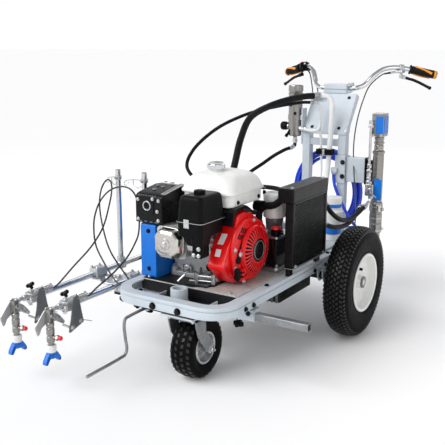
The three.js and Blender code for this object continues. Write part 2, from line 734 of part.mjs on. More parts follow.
function gunLever({ x }) {
  const outline = [[-958, 248], [-940, 256], [-916, 236], [-900, 214], [-908, 208], [-944, 234]];
  return slab(polygon(outline), "yz", x + 9.5, x + 14);
}

// The tip guard screws on to the gun's outlet and shields the spray tip with two wings.
function tipGuard({ x }) {
  const nut = sleeve(9.5, 15, 126, 150, "z", [x, -950, 0], 12);
  const tip = sleeve(3, 12, 106, 127, "z", [x, -950, 0], 10);
  const wingOutline = [[-962, 130], [-976, 128], [-998, 104], [-988, 90], [-958, 108]];
  const wings = [1, -1].map((side) => {
    const wing = slab(polygon(wingOutline), "yz", -7, 7).translate(0, 950, 0);
    if (side < 0) wing.rotateZ(Math.PI);
    return wing.translate(x, -950, 0);
  });
  return join(nut, tip, ...wings);
}

function beamKnob() {
  const centre = [KNOB_X, BEAM.y, 0];
  const top = BEAM.z - BEAM.sleeveHalf - GAP;
  const stem = rod(6, top - 12, top, "z", centre, 10);
  const lobes = [0, 1, 2].map((i) => {
    const arm = block(-19, 19, -6, 6, top - 30, top - 10);
    return arm.rotateZ((i / 3) * Math.PI).translate(...centre);
  });
  return join(stem, ...lobes);
}

function pointerRod() {
  const route = [
    [-94, -640, 230], [-94, -700, 230], [-95, -780, 228], [-95, -806, 224], [-95, -812, 205],
    [-95, -808, 160], [-95, -803, 122], [-95.5, -812, 107], [-96, -835, 104], [-98, -983, 99],
  ];
  return tube(route, 5, 27, 6);
}

// ---- cords --------------------------------------------------------------------------------
function gunCableOuter() {
  const route = [
    [-411, -799.2, 267], [-411, -786, 268.5], [-404, -765, 285], [-376, -735, 330], [-350, -670, 390],
    [-349, -610, 444], [-374, -545, 508], [-387, -516, 545], [-396, -503, 566],
    [-409, -493, 581], [-424, -488, 586], [-438, -489, 578], [-446, -495, 562],
    [-448, -504, 542], [-438, -524, 500], [-400, -553, 426], [-332, -596, 360],
    [-276, -600, 300], [-242, -603, 272], [-223.2, -604, 268],
  ];
  return tube(route, 3, 56, 8);
}

function gunCableInner() {
  const route = [
    [-258, -799.2, 267], [-258, -786, 268.5], [-251, -762, 285], [-232, -700, 322], [-220, -640, 364],
    [-218, -600, 403], [-222, -575, 430], [-235, -552, 491], [-248, -547, 545],
    [-270, -546, 572], [-302, -550, 582], [-354, -560, 566], [-386, -578, 526],
    [-403, -590, 472], [-400, -600, 430], [-384, -610, 375], [-335, -625, 322],
    [-285, -643, 288], [-246, -654, 269], [-223.2, -656, 267],
  ];
  return tube(route, 3, 50, 8);
}

// One hose: a lead down from the mast, and the turns of the coil behind it as one ring.
function paintHose() {
  const coil = sleeve(116, 166, -26, 26, "y", [0, 0, 0], 24);
  coil.scale(1, 1, 1.18);
  coil.translate(-10, 480, 430);
  const route = [
    [55, 396, 531.2], [55, 396, 512], [64, 388, 480], [86, 382, 436], [108, 384, 390],
    [126, 392, 350], [135, 408, 322], [131, 428, 314], [121, 441, 314], [119, 462, 314],
  ];
  return join(coil, tube(route, 7, 18, 8));
}

// ---- assembly -----------------------------------------------------------------------------
add("deck_frame", deckFrame(), FRAME_PAINT);
add("nose_plate", nosePlate(), FRAME_PAINT);
add("deck_plate", deckPlate(), DARK_STEEL);
add("under_tank", underTank(), BLACK_PAINT);
add("rear_axle", rearAxle(), ZINC);
add("beam_sleeve", beamSleeve(), FRAME_PAINT);
add("mast_frame", mastFrame(), FRAME_PAINT);
add("mast_plate", mastPlate(), FRAME_PAINT);
add("handlebar", handlebar(), CHROME);
add("grip_left", grip(1), RUBBER);
add("grip_right", grip(-1), RUBBER);
add("brake_lever", handLever(1), DARK_STEEL);
add("trigger_lever", handLever(-1), BLACK_PAINT);

for (const [name, side] of [["left", 1], ["right", -1]]) {
  add(`rear_rim_${name}`, rearRim(side), WHITE_PAINT);
  add(`rear_tyre_${name}`, rearTyre(side), RUBBER);
}
add("caster_fork", casterFork(), ZINC);
add("caster_rim", casterRim(), CAST_ALLOY);
add("caster_tyre", casterTyre(), RUBBER);

add("engine_block", engineBlock(), CAST_ALLOY);
add("valve_cover", valveCover(), CAST_ALLOY);
add("fan_shroud", fanShroud(), RED_PAINT);
add("crankshaft", crankshaft(), DARK_STEEL);
add("recoil_handle", recoilHandle(), BLACK_PAINT);
add("engine_switch", engineSwitch(), RED_PAINT);
add("fuel_tank", fuelTank(), WHITE_PAINT);
add("fuel_cap", fuelCap(), CHROME);
add("air_cleaner_base", airCleanerBase(), BLACK_PAINT);
add("air_cleaner_cover", airCleanerCover(), BLACK_PAINT);
add("air_cleaner_nut", airCleanerNut(), BLACK_PAINT);
add("muffler", muffler(), BLACK_PAINT);

add("belt_cover", beltCover(), BLUE_PAINT);
add("driven_pulley", drivenPulley(), DARK_STEEL);
add("hydraulic_pump", hydraulicPump(), CAST_ALLOY);
add("oil_cooler", oilCooler(), BLACK_PAINT);
add("oil_tank", oilTank(), DARK_STEEL);
add("oil_filter", oilFilter(), WHITE_PAINT);
add("breather_cap", breatherCap(), BLACK_PAINT);

add("paint_pump", paintPump(), STAINLESS);
add("manifold_lever", manifoldLever(), CHROME);
add("paint_filter", paintFilter(), STAINLESS);
add("pressure_knob", pressureKnob(), BLACK_PAINT);
add("supply_pipes", supplyPipes(), WHITE_PAINT);
add("suction_hose", suctionHose(), RUBBER);

add("gun_beam", gunBeam(), ZINC);
add("gun_carrier", gunCarrier(), ZINC);
for (const gun of GUNS) {
  add(`gun_bar_${gun.side}`, gunBar(gun), CHROME);
  add(`gun_body_${gun.side}`, gunBody(gun), STAINLESS);
  add(`gun_lever_${gun.side}`, gunLever(gun), ZINC);
  add(`tip_guard_${gun.side}`, tipGuard(gun), BLUE_PAINT);
}
add("beam_knob", beamKnob(), BLACK_PAINT);
add("pointer_rod", pointerRod(), ZINC);
add("gun_cable_outer", gunCableOuter(), RUBBER);
add("gun_cable_inner", gunCableInner(), RUBBER);
add("paint_hose", paintHose(), BLUE_HOSE);

export default machine;
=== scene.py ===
"""The line striping machine's looks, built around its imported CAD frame.

Shapes are drawn in millimetres from the middle of the rear axle on the ground, with the front
towards -Y and the operator's left towards +X, and are moved into the frame when a piece is made.
"""
import math

import bmesh
import bpy
from mathutils import Matrix, Vector


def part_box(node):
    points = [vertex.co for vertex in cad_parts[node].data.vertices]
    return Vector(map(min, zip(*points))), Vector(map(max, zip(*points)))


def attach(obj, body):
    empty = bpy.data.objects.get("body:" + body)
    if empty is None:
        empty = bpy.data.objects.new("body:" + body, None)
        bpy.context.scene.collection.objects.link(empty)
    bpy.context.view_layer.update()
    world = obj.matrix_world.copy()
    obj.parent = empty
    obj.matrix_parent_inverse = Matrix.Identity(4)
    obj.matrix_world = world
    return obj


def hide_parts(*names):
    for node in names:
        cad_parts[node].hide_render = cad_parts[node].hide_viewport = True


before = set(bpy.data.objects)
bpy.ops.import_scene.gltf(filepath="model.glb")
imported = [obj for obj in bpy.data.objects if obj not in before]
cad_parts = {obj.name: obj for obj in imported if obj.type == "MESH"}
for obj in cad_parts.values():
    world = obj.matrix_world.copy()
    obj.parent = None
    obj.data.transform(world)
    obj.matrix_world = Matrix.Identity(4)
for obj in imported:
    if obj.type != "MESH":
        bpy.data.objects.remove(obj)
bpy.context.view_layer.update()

MM = 0.001
X, Y, Z = Vector((1, 0, 0)), Vector((0, 1, 0)), Vector((0, 0, 1))
axle_low, axle_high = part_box("rear_axle")
ORIGIN = Vector(((axle_low.x + axle_high.x) / 2, (axle_low.y + axle_high.y) / 2, 0))
TO_FRAME = Matrix.Translation(ORIGIN) @ Matrix.Scale(MM, 4)

# ---- driving dimensions, in millimetres, as in the CAD model --------------------------------
CAMERA = {"at": (1335.1, -2483.4, 1049.5), "turn": 32.56, "down": 13.31, "lens": 60.22}
SENSOR = 36
DECK = {"top": 285, "bottom": 245, "half": 222, "rail": 38, "front": -740, "rear": 445, "corner": 100}
PLATE = {"top": 291, "half": 186, "rear": 240}
ON_PLATE = PLATE["top"] + 0.3
WHEEL = {"radius": 205, "track": 330}
CASTER = {"radius": 104.6, "x": 48, "y": -623, "kingpin": -668}
BEAM = {"y": -555, "z": 220, "half": 12.5, "left": 416, "right": -340, "sleeve": 16}
GUNS = {
    "outer": {"x": -427, "rear": -270, "pole_y": -430, "pole_top": 614},
    "inner": {"x": -274, "rear": -400, "pole_y": -470, "pole_top": 622},
}
BAR = {"radius": 11, "z": 256, "front": -885}
CRANK = {"y": -422, "z": 396}
PUMP_SHAFT_Y = -250
FUEL = {"x0": -96, "x1": 108, "front": -507, "rear": -290, "bottom": 540, "lip": 582, "neck_y": -432}
AIR = {"x0": -6, "x1": 88, "front": -652, "rear": -513, "top": 600}
MUFFLER = {"x0": -213, "x1": -104, "front": -597, "rear": -445, "bottom": 480, "top": 580}
COOLER = {"x0": 207, "x1": 238, "front": -328, "rear": -63, "bottom": 317, "top": 592}
OIL_BOX = {"x0": 70, "x1": 170, "front": -310, "rear": -190, "top": 415}
MAST = {"inner": 65, "outer": 100, "front": 405, "rear": 442, "top": 690}
PLATE_TOP = {"y": 507, "z": 856}
GRIP_INNER = Vector((254.7, 685.3, 954.7))
GRIP_OUTER = Vector((355.6, 745.5, 930.2))
PUMP = {"x": 243, "y": 415, "top": 787}
FILTER = {"x": -144, "y": 420, "radius": 30}


def metres(*point):
    return TO_FRAME @ Vector(point)


def put_in_scene(name, data):
    made = bpy.data.objects.new(name, data)
    bpy.context.scene.collection.objects.link(made)
    return made


def ends_of(ramp, low, high, low_color=None, high_color=None):
    """Places the two ends of a colour ramp and gives them colours."""
    ends = ramp.color_ramp.elements
    ends[0].position, ends[1].position = low, high
    if low_color:
        ends[0].color, ends[1].color = (*low_color, 1), (*high_color, 1)


# ---- camera, floor and light, in metres ------------------------------------------------------
FLOOR_REACH = 200
SUN = {"at": (-1.6, -2.6, 3.0), "strength": 2.5, "degrees_wide": 50}
SOFT_BOXES = {
    "fill": {"at": (3.4, -2.2, 2.0), "size": 2.2, "watts": 14},
    "rim": {"at": (-1.0, 3.4, 3.0), "size": 2.4, "watts": 22},
}
LIT_POINT = Vector((0, 0, 0.4))
SKY = {"low": (1, 1, 1), "high": (0.42, 0.42, 0.43)}


def make_stage():
    lens = bpy.data.cameras.new("camera")
    lens.lens, lens.sensor_width = CAMERA["lens"], SENSOR
    camera = put_in_scene("camera", lens)
    camera.location = metres(*CAMERA["at"])
    camera.rotation_euler = (math.radians(90 - CAMERA["down"]), 0, math.radians(CAMERA["turn"]))
    bpy.context.scene.camera = camera

    floor = bpy.data.meshes.new("floor")
    corners = [(-FLOOR_REACH, -FLOOR_REACH), (FLOOR_REACH, -FLOOR_REACH)]
    corners += [(FLOOR_REACH, FLOOR_REACH), (-FLOOR_REACH, FLOOR_REACH)]
    floor.from_pydata([(x, y, 0) for x, y in corners], [], [(0, 1, 2, 3)])
    ground = put_in_scene("floor", floor)
    floor.materials.append(
        surface("floor", (0.965, 0.965, 0.967), 0.9, mottle=0.004, mottle_size=0.8, shine=0.0)
    )

    sun = bpy.data.lights.new("key", "SUN")
    sun.energy, sun.angle = SUN["strength"], math.radians(SUN["degrees_wide"])
    lamps = [(sun, SUN["at"])]
    for name, soft_box in SOFT_BOXES.items():
        lamp = bpy.data.lights.new(name, "AREA")
        lamp.energy, lamp.size = soft_box["watts"], soft_box["size"]
        lamps.append((lamp, soft_box["at"]))
    for lamp, place in lamps:
        holder = put_in_scene(lamp.name, lamp)
        holder.location = place
        holder.rotation_euler = (LIT_POINT - Vector(place)).to_track_quat("-Z", "Y").to_euler()

    world = bpy.data.worlds.new("studio")
    bpy.context.scene.world = world
    world.use_nodes = True
    tree = world.node_tree
    way = node(tree, "ShaderNodeTexCoord")
    rise = node(tree, "ShaderNodeSeparateXYZ", {"Vector": way.outputs["Generated"]})
    ramp = node(tree, "ShaderNodeValToRGB", {"Fac": rise.outputs["Z"]})
    ends_of(ramp, 0.16, 0.5, SKY["low"], SKY["high"])
    tree.links.new(ramp.outputs["Color"], tree.nodes["Background"].inputs["Color"])
    tree.nodes["Background"].inputs["Strength"].default_value = 1.0
    bpy.context.scene.view_settings.view_transform = "Standard"


# ---- materials -------------------------------------------------------------------------------
def node(tree, kind, links=None, **settings):
    """Adds a shader node, sets its inputs and properties, and links inputs to other sockets."""
    made = tree.nodes.new(kind)
    for key, value in settings.items():
        if hasattr(made, key):
            setattr(made, key, value)
        else:
            made.inputs[key.replace("_", " ")].default_value = value
    for key, socket in (links or {}).items():
        tree.links.new(socket, made.inputs[key])
    return made


def place_of(tree, stretch=(1, 1, 1)):
    spot = node(tree, "ShaderNodeTexCoord")
    mapped = node(tree, "ShaderNodeMapping", {"Vector": spot.outputs["Object"]}, Scale=stretch)
    return mapped.outputs["Vector"]


def shade(color, factor):
    return tuple(max(0.0, min(1.0, c * factor)) for c in color)


def surface(
    name, color, rough, metal=0.0, mottle=0.1, mottle_size=0.05, grain=0.0, grain_size=0.0008,
    stretch=(1, 1, 1), coat=0.0, cells=0.0, specks=None, rough_swing=0.08, shine=0.4,
):
    """A procedural finish: mottled colour, uneven gloss, fine relief, and spangle cells or specks."""
    made = bpy.data.materials.new(name)
    made.use_nodes = True
    tree = made.node_tree
    shader = tree.nodes["Principled BSDF"]
    spot = place_of(tree, stretch)
    cloud = node(
        tree, "ShaderNodeTexNoise", {"Vector": spot}, Scale=1 / mottle_size, Detail=5.0, Roughness=0.6
    )
    ramp = node(tree, "ShaderNodeValToRGB", {"Fac": cloud.outputs["Fac"]})
    ends_of(ramp, 0.3, 0.7, shade(color, 1 - mottle), shade(color, 1 + mottle))
    tint = ramp.outputs["Color"]
    if cells:
        flake = node(tree, "ShaderNodeTexVoronoi", {"Vector": spot}, Scale=1 / cells)
        gray = node(tree, "ShaderNodeRGBToBW", {"Color": flake.outputs["Color"]})
        level = node(
            tree, "ShaderNodeMapRange", {"Value": gray.outputs["Val"]}, To_Min=0.82, To_Max=1.12
        )
        tint = node(
            tree, "ShaderNodeVectorMath", {0: tint, 1: level.outputs["Result"]}, operation="MULTIPLY"
        )
        tint = tint.outputs["Vector"]
    if specks:
        dots = node(tree, "ShaderNodeTexNoise", {"Vector": spot}, Scale=220.0, Detail=2.0)
        mask = node(tree, "ShaderNodeValToRGB", {"Fac": dots.outputs["Fac"]})
        ends_of(mask, 0.62, 0.7)
        mixed = node(tree, "ShaderNodeMix", {"Factor": mask.outputs["Color"], 6: tint}, data_type="RGBA")
        mixed.inputs[7].default_value = (*specks, 1)
        tint = mixed.outputs[2]
    tree.links.new(tint, shader.inputs["Base Color"])
    haze = node(
        tree, "ShaderNodeTexNoise", {"Vector": spot}, Scale=1.7 / mottle_size, Detail=6.0, Roughness=0.7
    )
    gloss = node(
        tree, "ShaderNodeMapRange", {"Value": haze.outputs["Fac"]},
        From_Min=0.25, From_Max=0.75, To_Min=max(0.02, rough - rough_swing),
        To_Max=min(1, rough + rough_swing),
    )
    tree.links.new(gloss.outputs["Result"], shader.inputs["Roughness"])
    if grain:
        relief = node(tree, "ShaderNodeTexNoise", {"Vector": spot}, Scale=1 / grain_size, Detail=3.0)
        bump = node(
            tree, "ShaderNodeBump", {"Height": relief.outputs["Fac"]}, Strength=grain, Distance=0.001
        )
        tree.links.new(bump.outputs["Normal"], shader.inputs["Normal"])
    fixed = {"Metallic": metal, "Specular IOR Level": shine, "Coat Weight": coat, "Coat Roughness": 0.08}
    for socket, value in fixed.items():
        shader.inputs[socket].default_value = value
    return made


FRAME_PAINT = surface(
    "frame_paint", (0.52, 0.575, 0.625), 0.42, 0.0, 0.05, 0.06, 0.12, 0.0012, coat=0.05, shine=0.25
)
DARK_PLATE = surface("dark_plate", (0.012, 0.0125, 0.014), 0.5, 0.0, 0.25, 0.04, 0.25, 0.001, shine=0.15)
PALE_PLATE = surface(
    "pale_plate", (0.50, 0.50, 0.48), 0.55, 0.2, 0.12, 0.03, 0.35, 0.002, specks=(0.12, 0.12, 0.12)
)
BLACK = surface(
    "black_paint", (0.005, 0.0053, 0.0056), 0.3, 0.0, 0.3, 0.04, 0.12, 0.0009, coat=0.06, shine=0.15
)
BLACK_PLASTIC = surface(
    "black_plastic", (0.0038, 0.004, 0.0044), 0.32, 0.0, 0.2, 0.03, 0.35, 0.0007, shine=0.08
)
BLACK_GLOSS = surface(
    "black_gloss", (0.006, 0.006, 0.007), 0.15, 0.0, 0.3, 0.03, 0.05, 0.001, coat=0.35, shine=0.3
)
RUBBER = surface("black_rubber", (0.007, 0.007, 0.008), 0.5, 0.0, 0.3, 0.02, 0.5, 0.0009, shine=0.14)
TYRE = surface("tyre_rubber", (0.004, 0.004, 0.0044), 0.46, 0.0, 0.35, 0.05, 0.35, 0.0012, shine=0.04)
# The lugs' rubber is lighter than the carcass rubber: a painted highlight on the tread.
LIT_TREAD = surface("tyre_tread_painted_highlight", (0.012, 0.012, 0.0125), 0.34, 0.0, 0.35, 0.03, 0.35, 0.0012, shine=0.3)
ZINC = surface("zinc", (0.62, 0.63, 0.64), 0.3, 0.95, 0.12, 0.02, 0.1, 0.0008, cells=0.006)
GALVANISED = surface("galvanised", (0.29, 0.30, 0.31), 0.42, 0.85, 0.15, 0.02, 0.2, 0.001, cells=0.008)
CHROME = surface("chrome", (0.66, 0.67, 0.68), 0.10, 1.0, 0.05, 0.05, 0.03, 0.001, rough_swing=0.04)
STAINLESS = surface(
    "stainless", (0.31, 0.30, 0.285), 0.27, 1.0, 0.12, 0.012, 0.12, 0.0009, stretch=(1, 1, 0.12)
)
TURNED = surface(
    "turned_steel", (0.60, 0.58, 0.55), 0.2, 1.0, 0.1, 0.01, 0.1, 0.0009, stretch=(0.2, 0.2, 3)
)
BRUSHED = surface("brushed_sheet", (0.50, 0.51, 0.52), 0.35, 0.95, 0.1, 0.01, 0.15, 0.0009, (1, 1, 0.1))
DARK_STEEL = surface("dark_steel", (0.16, 0.165, 0.17), 0.4, 0.85, 0.25, 0.02, 0.2, 0.001)
CAST = surface("cast_alloy", (0.52, 0.53, 0.53), 0.48, 0.75, 0.15, 0.02, 0.55, 0.0014)
RED = surface("red_paint", (0.74, 0.003, 0.005), 0.3, 0.0, 0.12, 0.05, 0.05, 0.001, coat=0.25, shine=0.3)
RED_PLASTIC = surface("red_plastic", (0.75, 0.012, 0.012), 0.35, 0.0, 0.1, 0.01, 0.1, 0.0007, coat=0.3)
WHITE = surface("white_paint", (0.83, 0.83, 0.81), 0.3, 0.0, 0.03, 0.06, 0.05, 0.0012, coat=0.5)
WHITE_PLASTIC = surface("white_plastic", (0.80, 0.80, 0.78), 0.4, 0.0, 0.04, 0.02, 0.1, 0.0008)
PIPE = surface(
    "pale_pipe", (0.74, 0.755, 0.76), 0.3, 0.0, 0.03, 0.08, 0.0, 0.001, coat=0.3, rough_swing=0.03
)
BLUE = surface(
    "blue_paint", (0.004, 0.155, 0.60), 0.35, 0.0, 0.08, 0.05, 0.08, 0.001, coat=0.15, shine=0.3
)
BLUE_HOSE = surface("blue_hose", (0.008, 0.06, 0.66), 0.4, 0.0, 0.12, 0.02, 0.25, 0.0009, coat=0.15)
BLUE_PLASTIC = surface("blue_plastic", (0.012, 0.16, 0.64), 0.38, 0.0, 0.1, 0.01, 0.15, 0.0007)
ORANGE = surface("orange_plastic", (0.85, 0.32, 0.015), 0.45, 0.0, 0.1, 0.01, 0.2, 0.0007)
BRASS = surface("brass", (0.70, 0.46, 0.14), 0.25, 1.0, 0.1, 0.01, 0.1, 0.0008)
SMOKED = surface("smoked_plastic", (0.16, 0.17, 0.18), 0.15, 0.0, 0.25, 0.02, 0.04, 0.001, coat=0.7)
LABEL = surface("blank_label", (0.80, 0.80, 0.78), 0.5, 0.0, 0.03, 0.01, 0.05, 0.001)


# ---- shape helpers: each gives a bmesh in millimetres ----------------------------------------
def soften(bm, width, segments=2, degrees=28):
    limit = math.radians(degrees)
    sharp = [e for e in bm.edges if len(e.link_faces) == 2 and e.calc_face_angle(0) > limit]
    if width and sharp:
        bmesh.ops.bevel(
            bm, geom=sharp, offset=width, segments=segments, profile=0.5, affect="EDGES",
            clamp_overlap=True
        )
    return bm


def skin(rings, caps=True, loop=False):
    """Joins rings of points, each with the same number of points, into one surface."""
    bm = bmesh.new()
    rows = [[bm.verts.new(p) for p in ring] for ring in rings]
    pairs = list(zip(rows, rows[1:])) + ([(rows[-1], rows[0])] if loop else [])
    for a, b in pairs:
        for i in range(len(a)):
            j = (i + 1) % len(a)
            bm.faces.new((a[i], a[j], b[j], b[i]))
    if caps and not loop:
        bm.faces.new(rows[0][::-1])
        bm.faces.new(rows[-1])
    bmesh.ops.remove_doubles(bm, verts=bm.verts, dist=1e-4)
    loose = [e for e in bm.edges if not e.link_faces]
    bmesh.ops.delete(bm, geom=loose, context="EDGES")
    bmesh.ops.recalc_face_normals(bm, faces=bm.faces)
    return bm


def block(x0, x1, y0, y1, z0, z1, soft=1.2):
    rings = [[(x0, y0, z), (x1, y0, z), (x1, y1, z), (x0, y1, z)] for z in (z0, z1)]
    return soften(skin(rings), soft)


def prism(points, plane, low, high, soft=1.0):
    """Extrudes an outline: "xy" runs along Z, "yz" along X and "xz" along Y."""
    spot = {
        "xy": lambda u, v, h: (u, v, h), "yz": lambda u, v, h: (h, u, v), "xz": lambda u, v, h: (u, h, v)
    }
    rings = [[spot[plane](u, v, h) for u, v in points] for h in (low, high)]
    return soften(skin(rings), soft)


def rounded(u0, u1, v0, v1, r, steps=6):
    """The outline of a rectangle with round corners."""
    points = []
    for cu, cv, start in (
        (u1 - r, v0 + r, -90), (u1 - r, v1 - r, 0), (u0 + r, v1 - r, 90), (u0 + r, v0 + r, 180)
    ):
        for i in range(steps + 1):
            turn = math.radians(start + 90 * i / steps)
            points.append((cu + r * math.cos(turn), cv + r * math.sin(turn)))
    return points


def arc(cu, cv, r, start, end, steps):
    turns = [math.radians(start + (end - start) * i / steps) for i in range(steps + 1)]
    return [(cu + r * math.cos(t), cv + r * math.sin(t)) for t in turns]


def moved(bm, matrix):
    bm.transform(matrix)
    return bm


def aimed(direction):
    return Vector(direction).to_track_quat("Z", "Y").to_matrix().to_4x4()


def stood(bm, place, direction):
    """Takes a shape drawn along +Z to a place, pointing along a direction."""
    return moved(bm, Matrix.Translation(place) @ aimed(direction))


def turned_at(place, degrees, axis="X"):
    """The matrix that turns a shape about an axis and takes it to a place."""
    return Matrix.Translation(place) @ Matrix.Rotation(math.radians(degrees), 4, axis)


def on_circle(radius, degrees):
    turn = math.radians(degrees)
    return radius * math.cos(turn), radius * math.sin(turn)


def both_sides(half, middle=()):
    """An outline of (radius, height) pairs from the low side over the middle to the high side."""
    return [(r, -h) for r, h in half] + list(middle) + half[::-1]


def lathe(profile, centre, direction=Z, segments=48, soft=0.0):
    """Turns (radius, height) pairs about an axis: heights run along the direction."""
    rings = []
    for i in range(segments):
        turn = 2 * math.pi * i / segments
        rings.append([(r * math.cos(turn), r * math.sin(turn), h) for r, h in profile])
    return stood(soften(skin(rings, loop=True), soft), centre, direction)


def rod(start, end, radius, segments=24, soft=0.8, tip=None):
    start, end = Vector(start), Vector(end)
    span = (end - start).length
    last = radius if tip is None else tip
    s = min(soft, radius * 0.45, span * 0.45)
    profile = [
        (0, 0), (radius - s, 0), (radius, s), (last, span - s), (max(last - s, 0.01), span), (0, span)
    ]
    return lathe(profile, start, end - start, segments)


def ring_of(inner, outer, start, end, segments=40, soft=0.6):
    """A sleeve between two points."""
    start, end = Vector(start), Vector(end)
    span = (end - start).length
    s = soft
    profile = [
        (inner, s), (inner + s, 0), (outer - s, 0), (outer, s), (outer, span - s), (outer - s, span),
        (inner + s, span), (inner, span - s),
    ]
    return lathe(profile, start, end - start, segments)


def smooth_path(points, step=8.0):
    """Evenly spaced points on the centripetal Catmull-Rom curve through the given ones."""
    p = [Vector(q) for q in points]
    first = p[0] * 2 - p[1]
    last = p[-1] * 2 - p[-2]
    p = [first, *p, last]
    out = []
    for i in range(1, len(p) - 2):
        a, b, c, d = p[i - 1 : i + 3]
        t1 = (b - a).length ** 0.5
        t2 = t1 + (c - b).length ** 0.5
        t3 = t2 + (d - c).length ** 0.5
        count = max(1, round((c - b).length / step))
        for k in range(count):
            t = t1 + (t2 - t1) * k / count
            ab = a.lerp(b, t / t1)
            bc = b.lerp(c, (t - t1) / (t2 - t1))
            cd = c.lerp(d, (t - t2) / (t3 - t2))
            out.append(ab.lerp(bc, t / t2).lerp(bc.lerp(cd, (t - t1) / (t3 - t1)), (t - t1) / (t2 - t1)))
    out.append(p[-2])
    return out


def sweep(path, section, caps=True, loop=False, up=None):
    """Carries a section of (sideways, upwards) pairs along a path."""
    count = len(path)
    rings = []
    side = None
    for i, here in enumerate(path):
        before = path[i - 1] if i or loop else path[i]
        after = path[(i + 1) % count] if i < count - 1 or loop else path[i]
        along = (after - before).normalized()
        if up is not None:
            side = along.cross(up).normalized()
        elif side is None:
            side = along.cross(Z if abs(along.z) < 0.9 else X).normalized()
        else:
            side = (side - along * side.dot(along)).normalized()
        top = side.cross(along)
        rings.append([here + side * u + top * v for u, v in section])
    return skin(rings, caps, loop)


def circle(radius, sides=12):
    turns = [2 * math.pi * i / sides for i in range(sides)]
    return [(radius * math.cos(t), radius * math.sin(t)) for t in turns]


def tube(points, radius, sides=14, step=8.0):
    return sweep(smooth_path(points, step), circle(radius, sides))


def hexagon(place, direction, width=13.0, height=7.0, domed=0.15):
    """A hexagonal bolt head or nut, with its chamfer."""
    r = width / math.sqrt(3)
    low = [(*on_circle(r, 60 * i), 0) for i in range(6)]
    mid = [(x, y, height * (1 - domed)) for x, y, _ in low]
    top = [(x * 0.86, y * 0.86, height) for x, y, _ in low]
    return stood(skin([low, mid, top]), place, direction)


def bolt(place, direction, width=13.0, height=7.0):
    """A hexagon head on a washer."""
    place, direction = Vector(place), Vector(direction).normalized()
    head = hexagon(place + direction * 1.5, direction, width, height)
    return [head, rod(place, place + direction * 1.6, width * 0.78, 24, 0.3)]


def bolt_row(places, direction, width=13.0, height=7.0):
    return [part for place in places for part in bolt(place, direction, width, height)]


def nut_on_stud(place, direction, width=13.0):
    place, direction = Vector(place), Vector(direction).normalized()
    stud = rod(place, place + direction * width * 0.95, width * 0.28, 12, 0.5)
    return [*bolt(place, direction, width, width * 0.5), stud]


def nut_row(places, direction, width=13.0):
    return [part for place in places for part in nut_on_stud(place, direction, width)]


def wing_knob(place, direction, reach=19, lobes=3, height=14):
    """A moulded knob with lobes around a hub."""
    place, direction = Vector(place), Vector(direction).normalized()
    outline = []
    for i in range(lobes * 12):
        turn = 2 * math.pi * i / (lobes * 12)
        outline.append((reach * (0.72 + 0.28 * math.cos(lobes * turn)), turn))
    rings = []
    for inset, h in ((0.86, 0), (1, 2.5), (1, height - 3), (0.8, height)):
        rings.append([(r * inset * math.cos(t), r * inset * math.sin(t), h) for r, t in outline])
    return [
        stood(skin(rings), place, direction),
        rod(place - direction * 8, place + direction * 1, reach * 0.34, 16),
    ]


def mesh_of(bm, name):
    """Turns a shape into a mesh and uses the shape up."""
    mesh = bpy.data.meshes.new(name)
    bm.to_mesh(mesh)
    bm.free()
    return mesh


def add_shape(whole, bm):
    scratch = mesh_of(bm, "scratch")
    whole.from_mesh(scratch)
    bpy.data.meshes.remove(scratch)


def carve(body, *tools):
    """Cuts shapes out of a shape."""
    joined = bmesh.new()
    for tool in tools:
        add_shape(joined, tool)
    whole, cutter = (
        put_in_scene(name, mesh_of(bm, name))
        for name, bm in (("carved", body), ("cutter", joined))
    )
    cutting = whole.modifiers.new("cut", "BOOLEAN")
    cutting.object, cutting.operation, cutting.solver = cutter, "DIFFERENCE", "EXACT"
    cutting.use_self = True
    graph = bpy.context.evaluated_depsgraph_get()
    result = bmesh.new()
    result.from_object(whole, graph)
    for used in (whole, cutter):
        mesh = used.data
        bpy.data.objects.remove(used)
        bpy.data.meshes.remove(mesh)
    return result


def repaint(name, material):
    """Gives a CAD solid that stays in view a better finish."""
    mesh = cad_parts[name].data
    mesh.materials.clear()
    mesh.materials.append(material)


def piece(name, body, shapes, replaces=(), flat_below=34):
    """Makes one object from (material, shape or list of shapes) pairs, riding on a body."""
    whole = bmesh.new()
    materials = []
    for material, made in shapes:
        if material not in materials:
            materials.append(material)
        for bm in made if isinstance(made, (list, tuple)) else [made]:
            for face in bm.faces:
                face.material_index = materials.index(material)
            add_shape(whole, bm)
    mesh = mesh_of(moved(whole, TO_FRAME), name)
    for material in materials:
        mesh.materials.append(material)
    mesh.shade_smooth()
    mesh.set_sharp_from_angle(angle=math.radians(flat_below))
    made = put_in_scene(name, mesh)
    weighted = made.modifiers.new("weighted", "WEIGHTED_NORMAL")
    weighted.keep_sharp = True
    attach(made, body)
    if replaces:
        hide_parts(*replaces)
    return made


make_stage()

# ---- cords: the routes repeat the CAD model's ------------------------------------------------
def cord_curve(name, points, radius, material, step=8.0):
    """A cord as one open spline along a smooth path."""
    line = bpy.data.curves.new(name, "CURVE")
    line.dimensions = "3D"
    line.bevel_depth = radius * MM
    line.bevel_resolution = 4
    line.use_fill_caps = True
    spline = line.splines.new("POLY")
    path = smooth_path(points, step)
    spline.points.add(len(path) - 1)
    for spot, place in zip(spline.points, path):
        spot.co = (*metres(*place), 1)
    line.materials.append(material)
    return put_in_scene(name, line)


